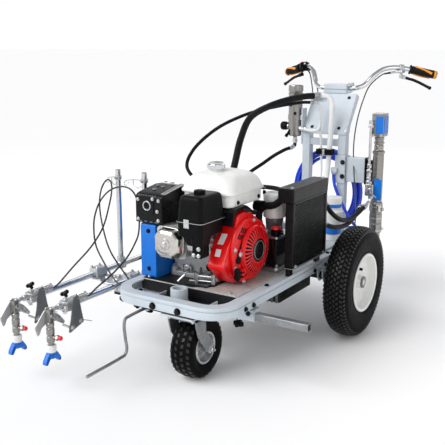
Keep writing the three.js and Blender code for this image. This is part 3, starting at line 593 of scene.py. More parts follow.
GUN_CABLES = {
    "outer": [
        (-411, -799.2, 267), (-411, -786, 268.5), (-404, -765, 285), (-376, -735, 330),
        (-350, -670, 390), (-349, -610, 444), (-374, -545, 508), (-387, -516, 545), (-396, -503, 566),
        (-409, -493, 581), (-424, -488, 586), (-438, -489, 578), (-446, -495, 562), (-448, -504, 542),
        (-438, -524, 500), (-400, -553, 426), (-332, -596, 360), (-276, -600, 300), (-242, -603, 272),
        (-223.2, -604, 268),
    ],
    "inner": [
        (-258, -799.2, 267), (-258, -786, 268.5), (-251, -762, 285), (-232, -700, 322),
        (-220, -640, 364), (-218, -600, 403), (-222, -575, 430), (-235, -552, 491), (-248, -547, 545),
        (-270, -546, 572), (-302, -550, 582), (-354, -560, 566), (-386, -578, 526), (-403, -590, 472),
        (-400, -600, 430), (-384, -610, 375), (-335, -625, 322), (-285, -643, 288), (-246, -654, 269),
        (-223.2, -656, 267),
    ],
}
CABLE_JACKET = surface(
    "cable_jacket", (0.014, 0.014, 0.016), 0.3, 0.0, 0.2, 0.01, 0.15, 0.0007, coat=0.3
)

CABLE_RADIUS = 3.0

for side, route in GUN_CABLES.items():
    cable = cord_curve(f"gun_cable_run_{side}", route, CABLE_RADIUS, CABLE_JACKET)
    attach(cable, f"bar_{side}")
    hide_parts(f"gun_cable_{side}")

HOSE_RADIUS = 6.5
HOSE_STEP = 9.0
COIL = {"x": -10, "y": 480, "z": 430, "tall": 1.18, "outer": 153, "pitch": 13.4, "rows": 3, "columns": 3}
COIL_START = math.radians(-52)
POINTS_PER_TURN = 36
EASED_POINTS = 7


def paint_hose_route():
    """Down from the lug on the mast, then round the coil behind it, turn beside turn.

    The coil's first points are left out, so that the lead eases into the first turn.
    """
    lead = [
        (55, 396, 531.2), (55, 396, 512), (64, 388, 480), (86, 382, 436), (110, 382, 392),
        (132, 388, 352), (146, 404, 322), (148, 428, 300),
    ]
    turns = COIL["rows"] * COIL["columns"]
    last_row = COIL["rows"] - 1
    coil = []
    for i in range(turns * POINTS_PER_TURN + 1):
        turn = i / POINTS_PER_TURN
        layer, row = divmod(min(turn, turns - 1e-6), COIL["rows"])
        row = min(row, last_row)
        if layer % 2:
            row = last_row - row
        radius = COIL["outer"] - layer * COIL["pitch"]
        angle = COIL_START - turn * 2 * math.pi
        coil.append((
            COIL["x"] + radius * math.cos(angle),
            COIL["y"] - COIL["pitch"] + row * COIL["pitch"],
            COIL["z"] + radius * COIL["tall"] * math.sin(angle),
        ))
    return lead + coil[EASED_POINTS:]


hose_route = paint_hose_route()
hose = cord_curve("paint_hose_run", hose_route, HOSE_RADIUS, BLUE_HOSE, HOSE_STEP)
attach(hose, "chassis")
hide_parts("paint_hose")
hose_end = Vector(hose_route[-1])
hose_way = (hose_end - Vector(hose_route[-3])).normalized()
fitting_shapes = [
    rod(hose_end - hose_way * 4, hose_end + hose_way * 22, 8.5, 20),
    hexagon(hose_end + hose_way * 10, hose_way, 19, 10),
]
hose_fitting = piece("paint_hose_fitting", "chassis", [(ZINC, fitting_shapes)])

# ---- frame and deck ----------------------------------------------------------------------------
def deck_outline(inset=0.0, steps=14):
    half = DECK["half"] - inset
    radius = DECK["corner"] - inset
    return rounded(-half, half, DECK["front"] + inset, DECK["rear"] - inset, radius, steps)


def deck_frame():
    """A folded channel bent to a ring: a flat top flange, a lip and crease, and a tall outer web."""
    path = [Vector((u, v, 0)) for u, v in deck_outline()]
    top, bottom = DECK["top"], DECK["bottom"]
    section = [
        (-38, top - 4), (-38, top - 0.8), (-37, top), (-4, top), (-1.6, top - 0.6), (-0.6, top - 2.4),
        (-0.4, top - 10), (-1.6, top - 12.4), (-4.2, top - 13.6), (-4.2, top - 15), (-0.6, top - 17),
        (0, top - 19), (0, bottom + 4), (-1.2, bottom + 1.2), (-4, bottom), (-16, bottom),
        (-16, bottom + 3), (-5, bottom + 3.4), (-3.4, bottom + 5), (-3.6, top - 17), (-8, top - 15),
        (-8, top - 13), (-4.4, top - 10), (-4.4, top - 5), (-6, top - 4),
    ]
    channel = sweep(path, section, loop=True, up=Z)
    inner = DECK["half"] - DECK["rail"]
    bars = [block(-inner - 8, inner + 8, y, y + 35, 250, 284.4, 3) for y in (-600, -300, 205)]
    gusset = block(-90, 115, DECK["front"] + 8, -592, 239, 250, 2)
    lip = [
        block(-90, -86, DECK["front"] + 40, -600, 250, 262, 1),
        block(111, 115, DECK["front"] + 40, -600, 250, 262, 1),
    ]
    flange_holes = [(x, y) for x in (-203, 203) for y in (-519, -344, -170, 118, 300)]
    drilled = carve(channel, *[rod((x, y, 270), (x, y, 300), 4, 16, 0) for x, y in flange_holes])
    # The front cross bar and the gusset under the deck's front come back apart, to be painted dark:
    # painted shade where the front opening lies in shadow, over dark parts below it.
    return [drilled, *bars[1:], *lip], [bars[0], gusset]


def socket_and_race():
    rim = [
        (20, 240), (20, 298), (21, 300), (27, 300), (28, 299), (28, 262), (31, 256), (31, 250.6),
        (20, 250.6),
    ]
    socket = lathe(rim, (0, -650, 0))
    pad = block(-14, 110, -735, -610, 232, 238, 2)
    top_plate = block(
        CASTER["x"] - 56, CASTER["x"] + 56, CASTER["kingpin"] - 52, CASTER["kingpin"] + 52, 226.5, 232, 2
    )
    race = lathe(
        [(9, 226), (43, 226), (44, 227), (44, 231), (36, 238), (9, 238)],
        (CASTER["x"], CASTER["kingpin"], 0),
    )
    corners = [(CASTER["x"] + dx, CASTER["kingpin"] + dy, 238) for dx in (-44, 44) for dy in (-40, 40)]
    nuts = nut_row([(x, y, 226.5) for x, y, _ in corners], -Z, 12)
    stay = sweep(
        [Vector((-30, -606, 262)), Vector((-26, -640, 256)), Vector((-30, -690, 252))],
        rounded(-2, 2, -7, 7, 1.5, 2),
    )
    return socket, [pad, top_plate, race], bolt_row(corners, Z, 12, 7) + nuts, stay


def make_deck():
    channel, nose = deck_frame()
    socket, plates, bolts, stay = socket_and_race()
    front_bolts = bolt_row([(x, DECK["front"], z) for x, z in ((-38, 259), (58, 258))], -Y, 15, 8)
    side_bolts = [
        b for s in (-1, 1) for y in (-608, -560, -120, -28, 28) for b in bolt(
            (s * DECK["half"], y, 258), X * s, 11, 6
        )
    ]
    top_bolts = bolt_row([(s * 203, y, 285) for s in (-1, 1) for y in (-440, 30)], Z, 11, 4)
    holder = [
        ring_of(5.8, 12, (-94, -702, 230), (-94, -668, 230)), block(-104, -84, -700, -670, 238, 245)
    ]
    knobs = wing_knob((-120, -712, 244), -Z, 17) + wing_knob((-94, -685, 218), -Z, 13, 2, 8)
    piece("deck_channel", "chassis", [
        (FRAME_PAINT, [*channel, socket, *holder, plates[0], stay]),
        # The nose in dark plate is painted shade under the deck's front.
        (DARK_PLATE, nose),
        (GALVANISED, plates[1:]),
        (ZINC, bolts), (BLACK, front_bolts + side_bolts + top_bolts),
        (BLACK_PLASTIC, knobs),
    ], ["deck_frame", "nose_plate"])
    top = PLATE["top"]
    pale = block(-PLATE["half"], PLATE["half"], -600, PLATE["rear"], 285.4, top - 1.5, 0.8)
    engine_plate = prism(
        [(-186, -600), (10, -600), (74, -560), (74, -318), (40, -300), (-186, -300)], "xy", top - 1.6,
        top + 0.2, 0.5
    )
    cover_plate = block(-120, 186, 40, 236, top - 1.6, top, 0.6)
    screw_spots = [
        (-170, -585), (-170, -320), (60, -330), (176, 52), (-110, 52), (176, 224), (-110, 224),
        (150, -585),
    ]
    screws = bolt_row([(x, y, top) for x, y in screw_spots], Z, 9, 4)
    piece("deck_sheets", "chassis", [
        (PALE_PLATE, [pale]), (DARK_PLATE, [engine_plate]), (FRAME_PAINT, [cover_plate]), (ZINC, screws),
    ], ["deck_plate"])


def make_under_tank():
    half, front, rear, low, high = 205, -362, -115, 198, 244.7
    body = block(-half, half, front + 8, rear, low, high, 3)
    ribs = [block(x, x + 9, front, front + 10, low + 1, high - 4, 1.4) for x in range(-200, 196, 17)]
    drain = bolt((150, -240, low + 1), -Z, 17, 6)
    straps = [block(x, x + 22, front - 1, rear + 1, low - 1.5, low + 0.5, 0.6) for x in (-150, 120)]
    piece("hydraulic_reservoir", "chassis", [
        (BLACK, [body] + straps), (DARK_STEEL, ribs), (ZINC, drain),
    ], ["under_tank"])


def make_rear_axle():
    z = WHEEL["radius"]
    tube_part = rod((-262, 0, z), (262, 0, z), 15, 32)
    shaft = rod((-356, 0, z), (356, 0, z), 10.6, 24)
    hangers = []
    outline = [(-30, 244.6), (-24, 200), (-12, 184), (12, 184), (24, 200), (30, 244.6)]
    for side in (-1, 1):
        for x in (188, 208):
            low, high = sorted((side * x, side * (x + 5)))
            hangers.append(prism(outline, "yz", low, high, 1))
    collars = [ring_of(10.8, 18, (s * 270, 0, z), (s * 282, 0, z)) for s in (-1, 1)]
    drum = lathe([(16, 0), (44, 0), (46, 2), (46, 22), (44, 24), (20, 24), (16, 26)], (246, 0, z), X)
    band = ring_of(46.2, 49, (251, 0, z), (265, 0, z))
    arm = block(252, 258, 40, 60, z - 4, z + 44, 1.5)
    piece("rear_axle_assembly", "chassis", [
        (FRAME_PAINT, hangers), (BLACK, [tube_part, drum]), (ZINC, [shaft, *collars, band, arm]),
    ], ["rear_axle"])


def make_beam_sleeve():
    y, z, s = BEAM["y"], BEAM["z"], BEAM["sleeve"]
    opening = BEAM["half"] + 0.4
    path = [Vector((-235, y, z)), Vector((232, y, z))]
    outer = rounded(-s, s, -s, s, 3, 3)
    sleeve = carve(
        sweep(path, outer), block(-300, 300, y - opening, y + opening, z - opening, z + opening, 0)
    )
    hangers = []
    for x in (-230, 200):
        hangers += [
            block(x, x + 30, y - 25, y - 21, z + 4, 244.6, 1),
            block(x, x + 30, y + 21, y + 25, z + 4, 244.6, 1),
        ]
        hangers.append(block(x, x + 30, y - 25, y + 25, z + s - 1, z + s + 4, 1))
    bolts = bolt_row([(x, y - 25, z + 14) for x in (-215, 215)], -Y, 11, 6)
    piece(
        "beam_sleeve_tube", "chassis",
        [(FRAME_PAINT, [sleeve, *hangers]), (BLACK, bolts)], ["beam_sleeve"],
    )
    top = z - s
    knob = wing_knob((165, y, top - 14), -Z, 19, 4, 16)
    stem = rod((165, y, top - 16), (165, y, top), 6, 16)
    piece(
        "beam_clamp_knob", "beam_clamp", [(BLACK_PLASTIC, knob), (ZINC, [stem])],
        ["beam_knob"],
    )


# ---- wheels --------------------------------------------------------------------------------------
def rear_rim(side):
    section = [
        (11.4, -30), (22, -30), (24, -28), (26, -4), (40, -1), (60, 2), (80, 2), (91, -4), (96, -14),
        (98, -43), (101, -45), (107, -45), (109, -42), (108, -39), (102, -37), (101, -36), (101, 36),
        (102, 37), (108, 39), (109, 42), (107, 45), (101, 45), (98, 43), (96, 20), (90, 12), (80, 8),
        (60, 8), (40, 10), (26, 14), (22, 30), (20, 31), (11.4, 31),
    ]
    return lathe([(r, h * side) for r, h in section], (side * WHEEL["track"], 0, WHEEL["radius"]), X, 96)


def tread_block(
    radius, height, turn, width, offset, length, slant, axis_x, centre_z, centre_y=0.0, drop=0.0
):
    """One tread lug: a slanted block standing on the crown, its sides sloping in."""
    rings = []
    for lift, scale in ((-3.0, 1.12), (height, 0.86)):
        ring = []
        for u, v in ((-1, -1), (1, -1), (1, 1), (-1, 1)):
            across = offset + u * width / 2 * scale
            along = (v * length / 2 + u * slant) * scale
            angle = turn + along / radius
            r = radius + lift - drop * (abs(across) / 40) ** 2
            ring.append(
                (axis_x + across, centre_y + r * math.sin(angle), centre_z + r * math.cos(angle))
            )
        rings.append(ring)
    return rings


def tread(rows, count, radius, height, length, axis_x, centre_z, centre_y=0.0, drop=8.0):
    bm = bmesh.new()
    for offset, width, slant, shift in rows:
        for i in range(count):
            turn = 2 * math.pi * (i + shift) / count
            low, high = tread_block(
                radius, height, turn, width, offset, length, slant, axis_x, centre_z, centre_y, drop
            )
            a = [bm.verts.new(p) for p in low]
            b = [bm.verts.new(p) for p in high]
            for k in range(4):
                bm.faces.new((a[k], a[(k + 1) % 4], b[(k + 1) % 4], b[k]))
            bm.faces.new(b)
            bm.faces.new(a[::-1])
    bmesh.ops.recalc_face_normals(bm, faces=bm.faces)
    return bm


def rear_tyre(side):
    section = both_sides([
        (101.4, 37.8), (108, 40), (114, 39), (118, 41), (130, 44.5), (150, 46), (164, 45.6), (168, 46),
        (171, 44.8), (182, 42), (192, 37), (197, 33), (199, 28), (200.5, 16),
    ], [(201, 0)])
    x, z = side * WHEEL["track"], WHEEL["radius"]
    carcass = lathe(section, (x, 0, z), X, 128)
    rows = [
        (-30, 9, 2.5, 0.0), (-17.5, 9.5, -3.0, 0.5), (-6, 9, 3.0, 0.0), (6, 9, -3.0, 0.5),
        (17.5, 9.5, 3.0, 0.0), (30, 9, -2.5, 0.5),
    ]
    lugs = tread(rows, 66, 201.2, 3.3, 11.0, x, z, drop=9.0)
    shoulder = tread([(-38, 6, 1.0, 0.25), (38, 6, 1.0, 0.25)], 78, 199.5, 2.6, 8.5, x, z, drop=10.5)
    return [carcass, lugs, shoulder]


def make_rear_wheels():
    for side, name in ((1, "left"), (-1, "right")):
        x, z = side * WHEEL["track"], WHEEL["radius"]
        hub_at, out = Vector((x, 0, z)), X * side
        stem_at = Vector((x + side * 14, 58 * math.cos(2.2), z + 74 * math.sin(2.2)))
        stem = [
            rod(stem_at, stem_at + out * 26 + Vector((0, 8, -4)), 5, 16),
            rod(stem_at - out * 6, stem_at + out * 3, 8, 16),
        ]
        hub = [
            lathe([(11.5, 0), (21, 0), (22, 1), (22, 4), (11.5, 5)], hub_at + out * 31, out),
            hexagon(hub_at + out * 28, out, 24, 8),
        ]
        cap = rod(hub_at + out * 26.5, hub_at + out * 27.5, 13, 24)
        bearing = ring_of(12, 19.6, hub_at + out * 31.2, hub_at + out * 35, 40, 0.5)
        cotter = rod(Vector((x, -9, z)) + out * 23, Vector((x, 9, z)) + out * 23, 1.4, 8)
        rivets = [
            rod(
                Vector((x + side * 3, 52 * math.cos(t), z + 52 * math.sin(t))),
                Vector((x + side * 10.5, 52 * math.cos(t), z + 52 * math.sin(t))), 3.4, 12,
            )
            for t in [math.radians(45 + 90 * i) for i in range(4)]
        ]
        piece(f"rear_wheel_rim_{name}", f"wheel_{name}", [
            (WHITE, [rear_rim(side), *rivets]), (BLACK_PLASTIC, stem), (ZINC, [hub[1], cap, cotter]),
            (DARK_STEEL, [hub[0], bearing]),
        ], [f"rear_rim_{name}"])
        carcass, *treads = rear_tyre(side)
        piece(f"rear_wheel_tyre_{name}", f"wheel_{name}", [
            (TYRE, [carcass]), (LIT_TREAD, treads),
        ], [f"rear_tyre_{name}"], 40)


def make_caster():
    x, y, r, king = CASTER["x"], CASTER["y"], CASTER["radius"], CASTER["kingpin"]
    leg = [
        (king - 36, 219), (king - 36, 207), (king - 24, 164), (y - 13, 92), (y + 4, 87.5), (y + 15, 91),
        (y + 19.5, 102), (y + 17, 118), (y + 8, 130), (y - 25, 176), (king + 20, 182), (king + 18, 219),
    ]
    legs = [prism(leg, "yz", x + side - 2.5, x + side + 2.5, 1.3) for side in (-52.5, 52.5)]
    bridge = block(x - 55, x + 55, king - 36, king + 18, 214.6, 219, 1.6)
    crown = lathe(
        [(0, 214), (38, 214), (40, 216), (40, 223), (36, 225.7), (8, 225.7), (8, 237), (0, 237)],
        (x, king, 0),
    )
    ends = [part for side in (-1, 1) for part in nut_on_stud((x + side * 55, y, r), X * side, 17)]
    shaft = rod((x - 62, y, r), (x + 62, y, r), 6, 20)
    spacers = [ring_of(6.2, 10, (x + s * 44.5, y, r), (x + s * 49.5, y, r)) for s in (-1, 1)]
    piece("caster_fork_plates", "caster", [
        (GALVANISED, [*legs, bridge, crown]), (CHROME, ends), (ZINC, [shaft, *spacers]),
    ], ["caster_fork"])
    section = both_sides([
        (6.5, 44), (13, 44), (14, 43), (16, 14), (26, 10), (38, 9), (43, 14), (45, 34), (47, 37),
        (53, 37), (54.5, 34), (53, 31.5), (50, 31),
    ])
    rim = lathe(section, (x, y, r), X, 72)
    bolts = []
    for s in (-1, 1):
        for i in range(4):
            across, up = on_circle(32, 45 + 90 * i)
            bolts += bolt((x + s * 9.5, y + across, r + up), X * s, 8, 5)
    piece("caster_wheel_rim", "caster_wheel", [(ZINC, [rim, *bolts])], ["caster_rim"])
    tyre = both_sides([
        (50.4, 30.6), (55, 33), (60, 33), (66, 38), (74, 41.4), (82, 42), (90, 40), (96, 35), (99, 28),
        (100.5, 14),
    ], [(101, 0)])
    carcass = lathe(tyre, (x, y, r), X, 96)
    rows = [(-31, 9, 1.5, 0.0), (-11, 10, -1.5, 0.5), (11, 10, 1.5, 0.0), (31, 9, -1.5, 0.5)]
    lugs = tread(rows, 30, 101, 3.0, 12, x, r, y, drop=7.0)
    piece(
        "caster_wheel_tyre", "caster_wheel", [(TYRE, [carcass]), (LIT_TREAD, [lugs])],
        ["caster_tyre"], 40,
    )


make_deck()
make_under_tank()
make_rear_axle()
make_beam_sleeve()
make_rear_wheels()
make_caster()

# ---- engine --------------------------------------------------------------------------------------
ENGINE_FEET = [(x, y) for x in (-118, 48) for y in (-511, -329)]


def fan_housing():
    y0, z0 = CRANK["y"], CRANK["z"]
    outline = [
        (-520, 302), (-572, 350), (-586, 364), (-583, 376), (-556, 428), (-549, 436), (-516, 470),
        (-510, 482),
    ]
    outline += [
        (-498, 516), (-488, 523), (-440, 528), (-428, 524), (-376, 494)
    ] + arc(y0, z0, 104, 60, -108, 26)
    housing = prism(outline, "yz", 63, 128, 7)
    cover = [
        (-440, 507), (-472, 504), (-506, 492), (-532, 470), (-546, 440), (-549, 404), (-545, 366),
        (-532, 334),
    ]
    cover += [(-510, 308), (-480, 294)]
    raised = prism(arc(y0, z0, 102, 76, -104, 40) + cover[::-1], "yz", 124, 140, 5)
    dome = lathe([
        (0, 138), (84, 138), (83, 146), (80, 152), (74, 157.5), (66, 160), (43, 162.5), (41, 162),
        (40, 160.6), (0, 160.6),
    ], (0, y0, z0), X, 96)
    # The core fills the dome under its slots and is painted black: painted shade seen through the slots.
    core = lathe([
        (0, 139), (80, 139), (79.5, 146), (77.5, 152.4), (71, 156.8), (64, 158.9), (45, 160.8), (0, 159),
    ], (0, y0, z0), X, 96)
    return housing, raised, dome, core


def make_shroud():
    y0, z0 = CRANK["y"], CRANK["z"]
    housing, raised, dome, core = fan_housing()
    slits, shade_floors, grid = [], [core], []
    for i in range(36):
        turn = turned_at((0, y0, z0), 10 * i + 3)
        slits.append(
            moved(prism([(-1.9, 45.5), (1.9, 45.5), (3.5, 77), (-3.5, 77)], "yz", 148, 170, 0), turn)
        )
    dome = carve(dome, *slits)

    # Each louvre window gets a black floor beneath it: painted shade inside the window.
    def window(y, z, width, length, degrees):
        turn = turned_at((0, y, z), degrees)
        grid.append(moved(block(132, 150, -width / 2, width / 2, -length, 0, 0), turn))
        shade_floors.append(
            moved(block(130, 138.7, -width / 2 - 0.3, width / 2 + 0.3, -length - 0.3, 0.3, 0), turn)
        )

    for row in range(2):
        for column in range(5):
            u, v = 0.12 + 0.19 * column, 0.06 + 0.5 * row
            window(-494 + 54 * u - 36 * v, 488 - 20 * u - 34 * v, 8.4, 20, -40)
    for i in range(4):
        window(-446 + 21 * i, 493.6 - 2.2 * i * i, 5.2, 5.2, -28 - 9 * i)
    recess = prism(rounded(-524, -462, 314, 350, 12), "yz", 129, 150, 0)
    raised = carve(raised, *grid, recess)
    spout = ring_of(5.5, 13, (132, -500, 338), (152, -500, 338), 24)
    rim = ring_of(82, 86, (138, y0, z0), (146, y0, z0), 80, 1)
    screw_spots = [(-538, 418), (-536, 356), (-484, 300), (-420, 494.5), (-336, 440), (-352, 330)]
    screws = bolt_row([(140, y, z) for y, z in screw_spots], X, 10, 4)
    # Black floors under the dome's slots, the louvre windows and the handle recess: painted shade
    # standing for the dark inside the housing.
    dark = [*shade_floors, prism(rounded(-526, -460, 312, 352, 12), "yz", 126, 129.6, 0)]
    disc = lathe([(0, 160.4), (39, 160.4), (39, 162.2), (37.5, 163), (0, 163.6)], (0, y0, z0), X, 64)
    ring = ring_of(30, 32, (163, y0, z0), (163.8, y0, z0), 48, 0.2)
    strip_turn = turned_at((0, -504, 404), -32)
    strip = moved(prism(rounded(-13, 13, -40, 40, 8), "yz", 135.4, 143.5, 1.4), strip_turn)
    strip_pads = [
        moved(prism(rounded(-7, 7, v, v + 13, 3), "yz", 143, 145, 0.6), strip_turn)
        for v in (-32, 19)
    ]
    tank_bracket = prism([
        (-512, 486), (-500, 522), (-486, 531), (-440, 536), (-426, 532), (-372, 499), (-366, 506),
        (-424, 541), (-440, 546), (-492, 540), (-508, 528), (-520, 488),
    ], "yz", 66, 118, 2)
    brace = sweep(
        [Vector((118, -470, 520)), Vector((128, -430, 528)), Vector((126, -380, 512))], circle(4, 10)
    )
    labels = []
    for start, end, x_low, x_high in (
        ((-551, 434), (-523, 463), 82, 103), ((-571, 398), (-560, 420), 84, 103)
    ):
        lift = Vector((0, -(end[1] - start[1]), end[0] - start[0])).normalized() * 0.6
        rings = []
        for x in (x_low, x_high):
            base = [Vector((x, *start)), Vector((x, *end))]
            rings.append([base[0], base[1], base[1] + lift, base[0] + lift])
        labels.append(skin(rings))
    piece("fan_shroud_cover", "chassis", [
        (RED, [housing, raised, dome, rim, spout]), (BLACK_PLASTIC, [*dark, strip, *strip_pads]),
        (BLACK_GLOSS, [disc]),
        (ZINC, [ring, *screws]), (BLACK, [tank_bracket, brace]), (LABEL, labels),
    ], ["fan_shroud"])
    handle = [
        prism(rounded(-549, -531, 319, 361, 7), "yz", 143, 159, 4),
        rod((151, -534, 340), (151, -514, 340), 4.6, 16),
        rod((151, -516, 340), (151, -503, 340), 2, 10),
    ]
    ridges = [block(141.8, 160, -547, -533, z, z + 2.4, 0.8) for z in (328, 334, 343, 349)]
    piece(
        "recoil_grip", "recoil", [(BLACK_PLASTIC, handle + ridges)], ["recoil_handle"]
    )
    knob = lathe([(0, 0), (10, 0), (10, 3), (8.6, 5), (0, 6)], (143.4, -512, 400), X, 32)
    paddle = moved(block(0, 7, -3, 3, -8, 17, 1.4), Matrix.Translation((142, -512, 400)))
    piece(
        "engine_switch_knob", "switch", [(ZINC, [knob]), (RED_PLASTIC, [paddle])],
        ["engine_switch"],
    )


def cast_block():
    case = block(-126, 57, -505, -335, 308, 452, 9)
    skirt = prism(rounded(-132, 62, -525, -315, 16), "xy", ON_PLATE, 309, 3)
    ribs = [block(x, x + 4, -517, -322, 306, 330, 1) for x in (-118, -84, -50, -16, 18, 48)]
    boss = [rod((x, y, ON_PLATE), (x, y, 318), 12, 24) for x, y in ENGINE_FEET]
    barrel = block(-106, -20, -606, -498, 388, 468, 7)
    fins = [prism(rounded(-124, -8, 377, 479, 14), "xz", y, y + 3.4, 0.8) for y in range(-598, -508, 11)]
    side = lathe([(0, 57), (66, 57), (70, 60), (70, 62.2), (0, 62.2)], (0, CRANK["y"], CRANK["z"]), X)
    belt_side = lathe(
        [(11, -136), (40, -136), (52, -132), (60, -126), (11, -126)], (0, CRANK["y"], CRANK["z"]), X
    )
    return [case, skirt, *ribs, *boss, barrel, *fins, side, belt_side]


def carburettor():
    bowl = lathe(
        [(0, 388), (9, 388), (18, 391), (20, 396), (20, 414), (17, 417), (0, 417)], (14, -568, 0), Z, 40
    )
    body = block(-4, 34, -590, -520, 416, 436, 5)
    throat = rod((14, -604, 428), (14, -512, 428), 15, 32)
    flange = [block(-14, 42, y, y + 5, 408, 449, 3) for y in (-592, -514)]
    pipe_stub = rod((34, -560, 424), (48, -560, 424), 5, 16)
    lever_path = [Vector((-8, -574, 444)), Vector((6, -606, 446)), Vector((34, -612, 438))]
    lever = sweep(lever_path, rounded(-1, 1, -5, 5, 0.8, 2))
    link = tube([(-8, -574, 447), (0, -520, 462), (30, -480, 470)], 1.6, 8, 10)
    eighths = [i * math.pi / 4 for i in range(96)]
    spring = tube(
        [(-10 + 3.4 * math.cos(t), -570 + 2.2 * t, 452 + 3.4 * math.sin(t)) for t in eighths], 0.8, 6, 3
    )
    jets = bolt_row([(x, -592, z) for x, z in ((-2, 426), (28, 444))], -Y, 8, 5)
    return [bowl, body, throat, *flange], [pipe_stub, lever, link, spring, *jets]


def make_engine_block():
    cast, bright = carburettor()
    posts = [
        block(x0, x1, -420, -395, 450, FUEL["bottom"] - 0.3, 2)
        for x0, x1 in ((-80, -60), (40, 56))
    ]
    stack = tube(
        [(-115, -490, 442), (-116, -512, 456), (-118, -520, 470), (-120, -520, 479.4)], 12, 20, 6
    )
    control = [
        prism(
            [(-560, 398), (-548, 396), (-530, 408), (-530, 452), (-552, 458), (-562, 440)], "yz", 57.5,
            60.5, 0.6,
        ),
        *bolt((60.5, -552, 445), X, 9, 5), *bolt((60.5, -546, 424), X, 11, 6),
        *bolt((60.5, -552, 406), X, 9, 5),
        tube([(60, -540, 440), (72, -560, 446), (76, -584, 440), (70, -600, 424)], 2.2, 8, 6),
    ]
    pillars = [ring_of(4, 8, (x, y, ON_PLATE), (x, y, 326), 24) for x, y in ((60, -543), (4, -556))]
    rods = [
        rod((4, -556, 316), (60, -543, 316), 4.2, 16), rod((4, -556, 300), (60, -543, 300), 3.2, 16),
        rod((-29, -575, 320), (-47, -592, 297), 5, 16), rod((-24, -560, 296), (52, -528, 296), 5, 16),
    ]
    drain = [*bolt((-62, -517, 322), -Y, 17, 9), *bolt((20, -517, 322), -Y, 17, 9)]
    plate_low = block(-20, 62, -585, -528, ON_PLATE, 295, 1.5)
    filler = lathe([(0, 0), (13, 0), (13, 12), (11, 15), (0, 16)], (32, -512, 340), -Y, 32)
    mounts = bolt_row([(x, y, 318) for x, y in ENGINE_FEET], Z, 15, 8)
    piece("engine_casting", "chassis", [
        (CAST, cast_block() + cast), (ZINC, bright + control + pillars + rods + drain + mounts),
        (BLACK, posts + [plate_low]), (DARK_STEEL, [stack]), (BLACK_PLASTIC, [filler]),
    ], ["engine_block"])
    outline = [
        (-112, 402), (-104, 392), (-92, 382), (-84, 379), (-40, 379), (-32, 382), (-14, 398), (-10, 408),
        (-8, 448), (-11, 458), (-28, 476), (-38, 481), (-82, 483), (-92, 480), (-109, 464), (-114, 454),
    ]
    centre = Vector((-61, 431))
    steps = [
        (-606.3, 1.0), (-611, 1.0), (-611.4, 0.965), (-620, 0.95), (-628, 0.92), (-634, 0.86),
        (-638, 0.76), (-640, 0.6), (-640.6, 0.44),
    ]
    rings = []
    for y, size in steps:
        scaled = [centre + (Vector(p) - centre) * size for p in outline]
        rings.append([(p.x, y, p.y) for p in scaled])
    cover = soften(skin(rings), 1.2)
    step = lathe([(0, 0), (20, 0), (19, 2.6), (16, 3.6), (0, 3.8)], (-62, -639.6, 432), -Y, 40)
    cover_bolts = bolt((-62, -643, 432), -Y, 13, 4)
    piece(
        "cylinder_cover", "chassis", [(TURNED, [cover, step]), (ZINC, cover_bolts)],
        ["valve_cover"],
    )


def loft_box(box, steps, arc_steps=8):
    """Stacks round-cornered rectangles (inset, height, corner) into one closed form."""
    x0, x1, y0, y1 = box
    rings = []
    for inset, z, r in steps:
        rings.append(
            [(u, v, z) for u, v in rounded(x0 + inset, x1 - inset, y0 + inset, y1 - inset, r, arc_steps)]
        )
    return skin(rings)


def make_fuel_tank():
    f = FUEL
    lip = f["lip"]
    steps = [
        (16, 540, 16), (8, 541.5, 22), (4.5, 545, 25), (4, 550, 26), (4, lip - 4, 26), (1, lip - 2, 28),
        (-3, lip, 30), (-4, lip + 2, 31), (-4, lip + 7, 31), (-2.6, lip + 9, 31), (0, lip + 11, 30),
        (2, 600, 30), (5, 610, 32), (10, 621, 35), (18, 631, 39), (29, 638.5, 43), (43, 644, 46),
        (60, 647.8, 40), (80, 649.6, 22), (92, 650, 10),
    ]
    tank = loft_box((f["x0"], f["x1"], f["front"], f["rear"]), steps, 10)
    neck = lathe(
        [(20, 640), (24, 649), (22, 650.5), (22, 655.6), (18, 655.6), (18, 640)], (0, f["neck_y"], 0)
    )
    tabs = []
    for x, way in ((f["x0"] + 3.5, -X), (f["x1"] - 3.5, X)):
        for y in (f["front"] + 44, f["rear"] - 40):
            tabs += bolt((x, y, 556), way, 9, 3)
    corner = [
        block(88, 112, f["rear"] - 16, f["rear"] + 2, 575, 581, 2),
        *bolt((104, f["rear"] - 3, 564), X, 10, 6),
    ]
    outlet = tube(
        [(60, -480, 542), (60, -500, 528), (50, -520, 500), (46, -540, 460), (44, -556, 436)], 4, 10, 8
    )
    piece("petrol_tank", "chassis", [
        (WHITE_PLASTIC, [tank, neck]), (BLACK, corner + tabs), (RUBBER, [outlet]),
    ], ["fuel_tank"], 50)
    rings = []
    for r, z in (
        (20, 656.3), (29, 656.3), (30.6, 657.4), (30.8, 668), (29.6, 670.6), (27, 672), (25, 672.4),
        (24, 676.4),
    ):
        wave = 0.9 if 657 < z < 671 else 0.15
        ring = []
        for i in range(120):
            turn = 2 * math.pi * i / 120
            reach = r + wave * abs(math.cos(6 * turn)) - wave / 2
            ring.append((reach * math.cos(turn), f["neck_y"] + reach * math.sin(turn), z))
        rings.append(ring)
    dish = lathe(
        [(0, 673.5), (14, 674), (22, 676), (24.2, 676.6), (25, 675.8), (25, 672)], (0, f["neck_y"], 0)
    )
    piece("petrol_cap", "fuel_lid", [(CHROME, [soften(skin(rings), 0.4), dish])], ["fuel_cap"])


